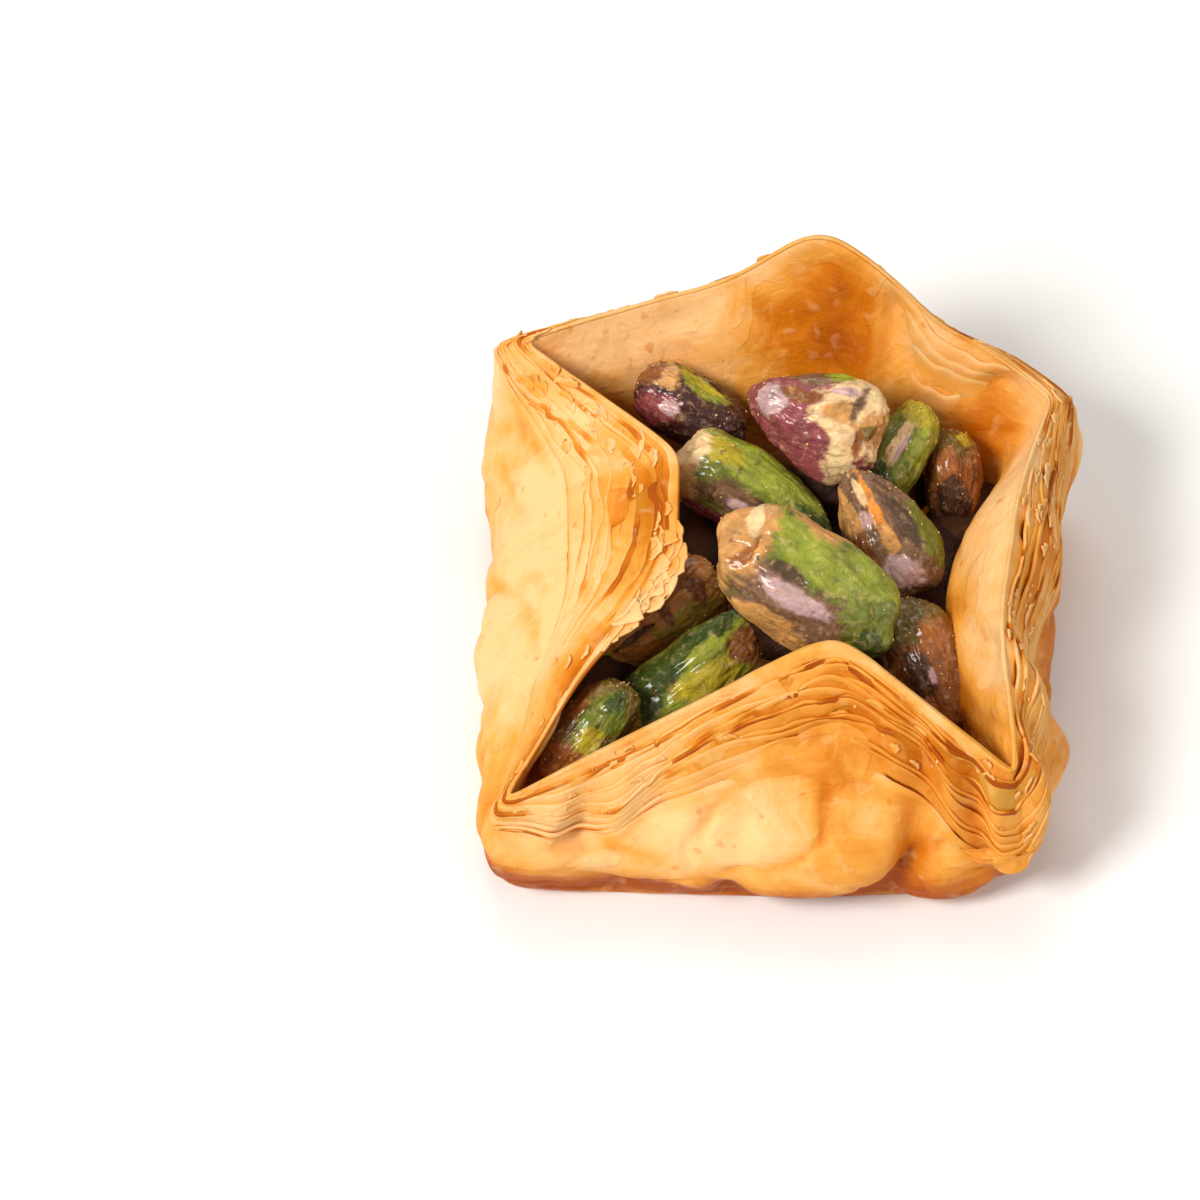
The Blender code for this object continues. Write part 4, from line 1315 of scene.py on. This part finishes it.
def nut_skin_group():
    """Papery nut skin over the painted patches: pale mottling, dark veins, fine relief and painted shade for
    kernels deep in the heap.
    """
    name = "nut_skin"
    if name in bpy.data.node_groups:
        return bpy.data.node_groups[name]
    inputs = (("Place", "Vector"), ("Skin", "Color"), ("Mottling", "Float"), ("Depth", "Float"))
    group, start, end = new_group(name, inputs)
    mottle = noise_value(group, start.outputs["Place"], *MOTTLE_NOISE)
    veins = noise_value(group, start.outputs["Place"], *VEIN_NOISE)
    mottling = start.outputs["Mottling"]
    pale = combine(group, "MULTIPLY", ramp(group, mottle, 0.52, 0.74, 0.0, 0.45), mottling)
    dark = combine(group, "MULTIPLY", ramp(group, veins, 0.44, 0.30, 0.0, 0.8), mottling)
    colour = mix_colour(group, pale, start.outputs["Skin"], opaque(CREAM))
    colour = mix_colour(group, dark, colour, opaque(DARK_BROWN))
    # Painted shade: kernels deep in the heap are mixed towards IN_SHADE
    colour = mix_colour(group, start.outputs["Depth"], colour, opaque(IN_SHADE))
    group.links.new(colour, end.inputs["Color"])
    group.links.new(ramp(group, mottle, 0.3, 0.7, *SKIN_ROUGHNESS), end.inputs["Roughness"])
    group.links.new(add_shares(group, veins, ((mottle, 0.6),)), end.inputs["Height"])
    return group


def nut_material(name, mottling, depth, gloss):
    """Nut skin under a coat of syrup; depth is painted shade that darkens kernels lying deep in the heap."""
    inputs = {
        "Skin": ("ShaderNodeAttribute", "Color", {"attribute_name": "skin"}),
        "Mottling": mottling,
        "Depth": depth,
    }
    values = {**SKIN_SURFACE, "Coat Weight": gloss}
    return surface_material(name, nut_skin_group(), inputs, SKIN_DEPTH, values)


# Crumbs lie where a kernel's surface faces up at least this much
UPWARD = 0.2


def sprinkle(crumbs, work, rng, many):
    """Drops tiny crumbs on the upper side of a kernel."""
    work.normal_update()
    upper = [vert for vert in work.verts if vert.normal.z > UPWARD]
    for vert in rng.sample(upper, many):
        along = vert.normal.orthogonal().normalized()
        axes = (along, vert.normal.cross(along), vert.normal)
        add_crumb(crumbs, rng, vert.co, axes, *KERNEL_CRUMBS)


def build_kernels(look):
    """The kernels that show whole or nearly whole."""
    material = nut_material("glazed_pistachio", *TOP_NUTS, look.gloss)
    rng = random.Random(57)
    crumbs = bmesh.new()
    faces = (look.detail, look.detail * 5 // 8)
    for number, (name, (slot, turned, *traits)) in enumerate(KERNELS.items()):
        node = "pistachio_" + name
        work = kernel_bmesh(*kernel_place(node, turned), *traits, number, *faces)
        sprinkle(crumbs, work, rng, look.crumb_count)
        piece = add_piece("glazed_" + name, work, material)
        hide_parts(node)
    add_piece("crumbs_on_kernels", crumbs, filo_material("filo_flakes"))


# The kernels further down, in millimetres: centre, top, length, width, then how they are turned
LOWER_KERNELS = (
    (-6.0, 6.8, 12.0, 13.0, 7.4, 70),
    (8.4, -2.6, 10.6, 12.0, 7.2, 20),
    (12.6, 4.8, 10.8, 13.0, 7.0, 84),
    (-12.4, 6.4, 10.4, 14.0, 7.6, 100),
    (-13.0, -4.0, 9.2, 12.0, 7.2, 75),
    (1.4, -12.6, 9.6, 14.0, 7.6, 8),
    (12.8, -12.4, 8.8, 12.0, 7.2, 130),
    (-7.0, -14.0, 8.6, 12.0, 7.0, -10),
    (3.6, 5.6, 12.2, 12.0, 7.4, 40),
    (-14.0, 14.2, 11.2, 12.0, 7.2, 140),
    (15.0, 11.0, 9.6, 11.0, 6.6, 60),
    (6.0, 14.6, 11.2, 12.0, 7.0, -5),
    (2.4, -2.6, 16.0, 12.0, 7.6, -20),
    (3.6, -7.6, 12.0, 12.0, 7.0, 25),
    (2.8, 12.4, 13.8, 12.0, 7.0, 10),
)
LOWER_PATCHES = (((-0.4, 0.2), (0.5, 0.5), BROWN, 0.05), ((0.5, -0.2), (0.3, 0.4), DARK_PURPLE, 0.0))

# A lower kernel: its faces round and along, its taper, its height as a share of its width, its seed
LOWER_FACES = (56, 36)
LOWER_TAPER = 0.1
LOWER_FLATNESS = 0.92
LOWER_SEED = 30


def build_lower_kernels():
    """The kernels that show in the gaps between the top ones, painted dark for the shade they lie in."""
    work = bmesh.new()
    for number, (x, y, top, length, width, turned) in enumerate(LOWER_KERNELS):
        axes = np.array(Matrix.Rotation(math.radians(turned), 3, "Z").transposed())
        middle = np.array((x, y, top - width / 2)) * MM + SHIFT
        half = np.array((length, width, width * LOWER_FLATNESS)) / 2 * MM
        # Painted shade: a dark brown base for kernels that lie in the shade of the gaps
        traits = (LOWER_TAPER, DARK_BROWN, LOWER_PATCHES, (), number + LOWER_SEED)
        merge_into(work, kernel_bmesh(middle, axes, half, *traits, *LOWER_FACES))
    piece = add_piece("lower_kernels", work, nut_material("shaded_pistachio", *LOWER_NUTS, 0.0))
    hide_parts(BED)


# The studio

SENSOR_WIDTH = 36.0
CLIP_START = 0.01
FLOOR_SIZE = 4.0
FLOOR_GAP = 0.05 * MM
FLOOR_COLOUR = (0.88, 0.88, 0.87, 1.0)
FLOOR_ROUGHNESS = 0.9
AMBIENT_COLOUR = (1.0, 0.985, 0.96, 1.0)

# Each light: where it stands, its size, power and colour
LIGHTS = (
    ("key", (-0.30, -0.25, 0.44), 0.18, 2.9, (1.0, 0.98, 0.95)),
    ("fill", (0.36, -0.20, 0.30), 0.35, 0.5, (1.0, 0.97, 0.93)),
    ("top", (-0.05, 0.30, 0.50), 0.30, 0.8, (1.0, 0.98, 0.95)),
)


def build_camera(look):
    """The photograph's camera: its middle is off to the side of what it looks at, as in the photo."""
    right, up, sight = sight_axes()
    base = Vector(SHIFT)
    data = bpy.data.cameras.new("camera")
    data.lens = look.lens
    data.sensor_width = SENSOR_WIDTH
    data.clip_start = CLIP_START
    camera = bpy.data.objects.new("camera", data)
    camera.location = base + sight * look.camera_distance
    aim = base - right * look.aim_left + up * look.aim_up
    camera.rotation_euler = (camera.location - aim).to_track_quat("Z", "Y").to_euler()
    bpy.context.scene.collection.objects.link(camera)
    bpy.context.scene.camera = camera


def build_floor():
    """The pale ground under the pastry."""
    work = bmesh.new()
    bmesh.ops.create_grid(work, x_segments=1, y_segments=1, size=FLOOR_SIZE / 2)
    bmesh.ops.translate(work, verts=work.verts, vec=(0, 0, PASTRY_LOW.z - FLOOR_GAP))
    mesh = bpy.data.meshes.new("floor")
    work.to_mesh(mesh)
    work.free()
    material = bpy.data.materials.new("pale_floor")
    material.use_nodes = True
    shader = material.node_tree.nodes["Principled BSDF"]
    shader.inputs["Base Color"].default_value = FLOOR_COLOUR
    shader.inputs["Roughness"].default_value = FLOOR_ROUGHNESS
    mesh.materials.append(material)
    floor = bpy.data.objects.new("floor", mesh)
    bpy.context.scene.collection.objects.link(floor)


def build_lights(look):
    """Light from all round, and lamps that each face the pastry."""
    world = bpy.data.worlds.new("studio")
    world.use_nodes = True
    background = world.node_tree.nodes["Background"]
    background.inputs["Color"].default_value = AMBIENT_COLOUR
    background.inputs["Strength"].default_value = look.ambient
    bpy.context.scene.world = world
    for name, place, size, power, colour in LIGHTS:
        data = bpy.data.lights.new(name, "AREA")
        data.size = size
        data.energy = power
        data.color = colour
        light = bpy.data.objects.new(name, data)
        light.location = place
        light.rotation_euler = Vector(place).to_track_quat("Z", "Y").to_euler()
        bpy.context.scene.collection.objects.link(light)


# The add-on

class BaklavaPastry(bpy.types.PropertyGroup):
    layer_count: IntProperty(
        name="Layers",
        description="Layers that show in the cut edge",
        default=14,
        min=2,
    )
    layer_thickness: FloatProperty(
        name="Layer Thickness",
        description="Thickness of one cut layer",
        default=0.24 * MM,
        subtype="DISTANCE",
        unit="LENGTH",
    )
    sheet_thickness: FloatProperty(
        name="Wall Thickness",
        description="Thickness of the walls' sheets",
        default=0.24 * MM,
        subtype="DISTANCE",
        unit="LENGTH",
    )
    lip_lift: FloatProperty(
        name="Lip Lift",
        description="How far the layers' edges stand apart",
        default=0.30 * MM,
        subtype="DISTANCE",
        unit="LENGTH",
    )
    flakiness: FloatProperty(
        name="Flakiness",
        description="How many flakes and crumbs there are",
        default=1.0,
        min=0.0,
    )
    pale: FloatVectorProperty(
        name="Pale",
        description="Thin dry filo",
        default=on_screen(246, 193, 131),
        subtype="COLOR",
        size=3,
    )
    golden: FloatVectorProperty(
        name="Golden",
        description="Lightly baked filo",
        default=on_screen(233, 160, 66),
        subtype="COLOR",
        size=3,
    )
    brown: FloatVectorProperty(
        name="Brown",
        description="Toasted filo",
        default=on_screen(206, 116, 12),
        subtype="COLOR",
        size=3,
    )
    deep: FloatVectorProperty(
        name="Deep",
        description="Filo soaked in syrup",
        default=on_screen(166, 76, 2),
        subtype="COLOR",
        size=3,
    )


class BaklavaKernels(bpy.types.PropertyGroup):
    detail: IntProperty(
        name="Detail",
        description="Faces round each kernel",
        default=152,
        min=16,
    )
    gloss: FloatProperty(
        name="Gloss",
        description="Strength of the syrup coat",
        default=0.5,
        min=0.0,
        max=1.0,
    )
    crumb_count: IntProperty(
        name="Crumbs",
        description="Crumbs on each kernel",
        default=22,
        min=0,
    )


class BaklavaStudio(bpy.types.PropertyGroup):
    lens: FloatProperty(name="Lens", description="Focal length in millimetres", default=139.08)
    camera_distance: FloatProperty(
        name="Distance",
        description="From the camera to the base",
        default=380 * MM,
        subtype="DISTANCE",
        unit="LENGTH",
    )
    aim_left: FloatProperty(
        name="Aim Left",
        description="How far left of the base the camera aims",
        default=14.34 * MM,
        subtype="DISTANCE",
        unit="LENGTH",
    )
    aim_up: FloatProperty(
        name="Aim Up",
        description="How far above the base the camera aims",
        default=5.98 * MM,
        subtype="DISTANCE",
        unit="LENGTH",
    )
    ambient: FloatProperty(
        name="Ambient",
        description="Strength of the light from all round",
        default=0.42,
        min=0.0,
    )


class BAKLAVA_OT_outer_wall(bpy.types.Operator):
    """Add the outermost sheet of the pastry"""

    bl_idname = "baklava.outer_wall"
    bl_label = "Outer Wall"

    def execute(self, context):
        build_outer_wall(context.scene.baklava_pastry)
        return {"FINISHED"}


class BAKLAVA_OT_inner_wall(bpy.types.Operator):
    """Add the innermost sheet of the pastry"""

    bl_idname = "baklava.inner_wall"
    bl_label = "Inner Wall"

    def execute(self, context):
        build_inner_wall(context.scene.baklava_pastry)
        return {"FINISHED"}


class BAKLAVA_OT_terraces(bpy.types.Operator):
    """Add the sheets that end inside the basket"""

    bl_idname = "baklava.terraces"
    bl_label = "Terraces"

    def execute(self, context):
        build_terraces(context.scene.baklava_pastry)
        return {"FINISHED"}


class BAKLAVA_OT_layers(bpy.types.Operator):
    """Add the layers whose cut edges show between the walls"""

    bl_idname = "baklava.layers"
    bl_label = "Cut Layers"

    def execute(self, context):
        build_layers(context.scene.baklava_pastry)
        return {"FINISHED"}


class BAKLAVA_OT_flakes(bpy.types.Operator):
    """Add the torn flakes and crumbs"""

    bl_idname = "baklava.flakes"
    bl_label = "Flakes"

    def execute(self, context):
        build_flakes(context.scene.baklava_pastry)
        return {"FINISHED"}


class BAKLAVA_OT_kernels(bpy.types.Operator):
    """Add the glazed kernels on top of the heap"""

    bl_idname = "baklava.kernels"
    bl_label = "Kernels"

    def execute(self, context):
        build_kernels(context.scene.baklava_kernels)
        return {"FINISHED"}


class BAKLAVA_OT_lower_kernels(bpy.types.Operator):
    """Add the kernels under the top ones"""

    bl_idname = "baklava.lower_kernels"
    bl_label = "Lower Kernels"

    def execute(self, context):
        build_lower_kernels()
        return {"FINISHED"}


class BAKLAVA_OT_stage(bpy.types.Operator):
    """Add the floor, the lights and the camera"""

    bl_idname = "baklava.stage"
    bl_label = "Stage"

    def execute(self, context):
        look = context.scene.baklava_studio
        context.scene.view_settings.view_transform = "Standard"
        build_camera(look)
        build_floor()
        build_lights(look)
        return {"FINISHED"}


class BAKLAVA_PT_sidebar(bpy.types.Panel):
    """Lists the basket's sizes, colours and pieces"""

    bl_idname = "BAKLAVA_PT_sidebar"
    bl_label = "Baklava Basket"
    bl_space_type = "VIEW_3D"
    bl_region_type = "UI"
    bl_category = "Baklava"

    def draw(self, context):
        groups = (context.scene.baklava_pastry, context.scene.baklava_kernels, context.scene.baklava_studio)
        for settings in groups:
            column = self.layout.column()
            for name in settings.__annotations__:
                column.prop(settings, name)
        for operator in OPERATORS:
            self.layout.operator(operator.bl_idname)


SETTINGS = {
    "baklava_pastry": BaklavaPastry,
    "baklava_kernels": BaklavaKernels,
    "baklava_studio": BaklavaStudio,
}
OPERATORS = (
    BAKLAVA_OT_stage,
    BAKLAVA_OT_outer_wall,
    BAKLAVA_OT_inner_wall,
    BAKLAVA_OT_terraces,
    BAKLAVA_OT_layers,
    BAKLAVA_OT_flakes,
    BAKLAVA_OT_kernels,
    BAKLAVA_OT_lower_kernels,
)


def register():
    for name, settings in SETTINGS.items():
        bpy.utils.register_class(settings)
        setattr(bpy.types.Scene, name, PointerProperty(type=settings))
    for cls in (*OPERATORS, BAKLAVA_PT_sidebar):
        bpy.utils.register_class(cls)


def unregister():
    for cls in reversed((*OPERATORS, BAKLAVA_PT_sidebar)):
        bpy.utils.unregister_class(cls)
    for name, settings in SETTINGS.items():
        delattr(bpy.types.Scene, name)
        bpy.utils.unregister_class(settings)


def main():
    register()
    bpy.ops.baklava.stage()
    bpy.ops.baklava.outer_wall()
    bpy.ops.baklava.inner_wall()
    bpy.ops.baklava.terraces()
    bpy.ops.baklava.layers()
    bpy.ops.baklava.flakes()
    bpy.ops.baklava.kernels()
    bpy.ops.baklava.lower_kernels()


if __name__ == "__main__":
    main()
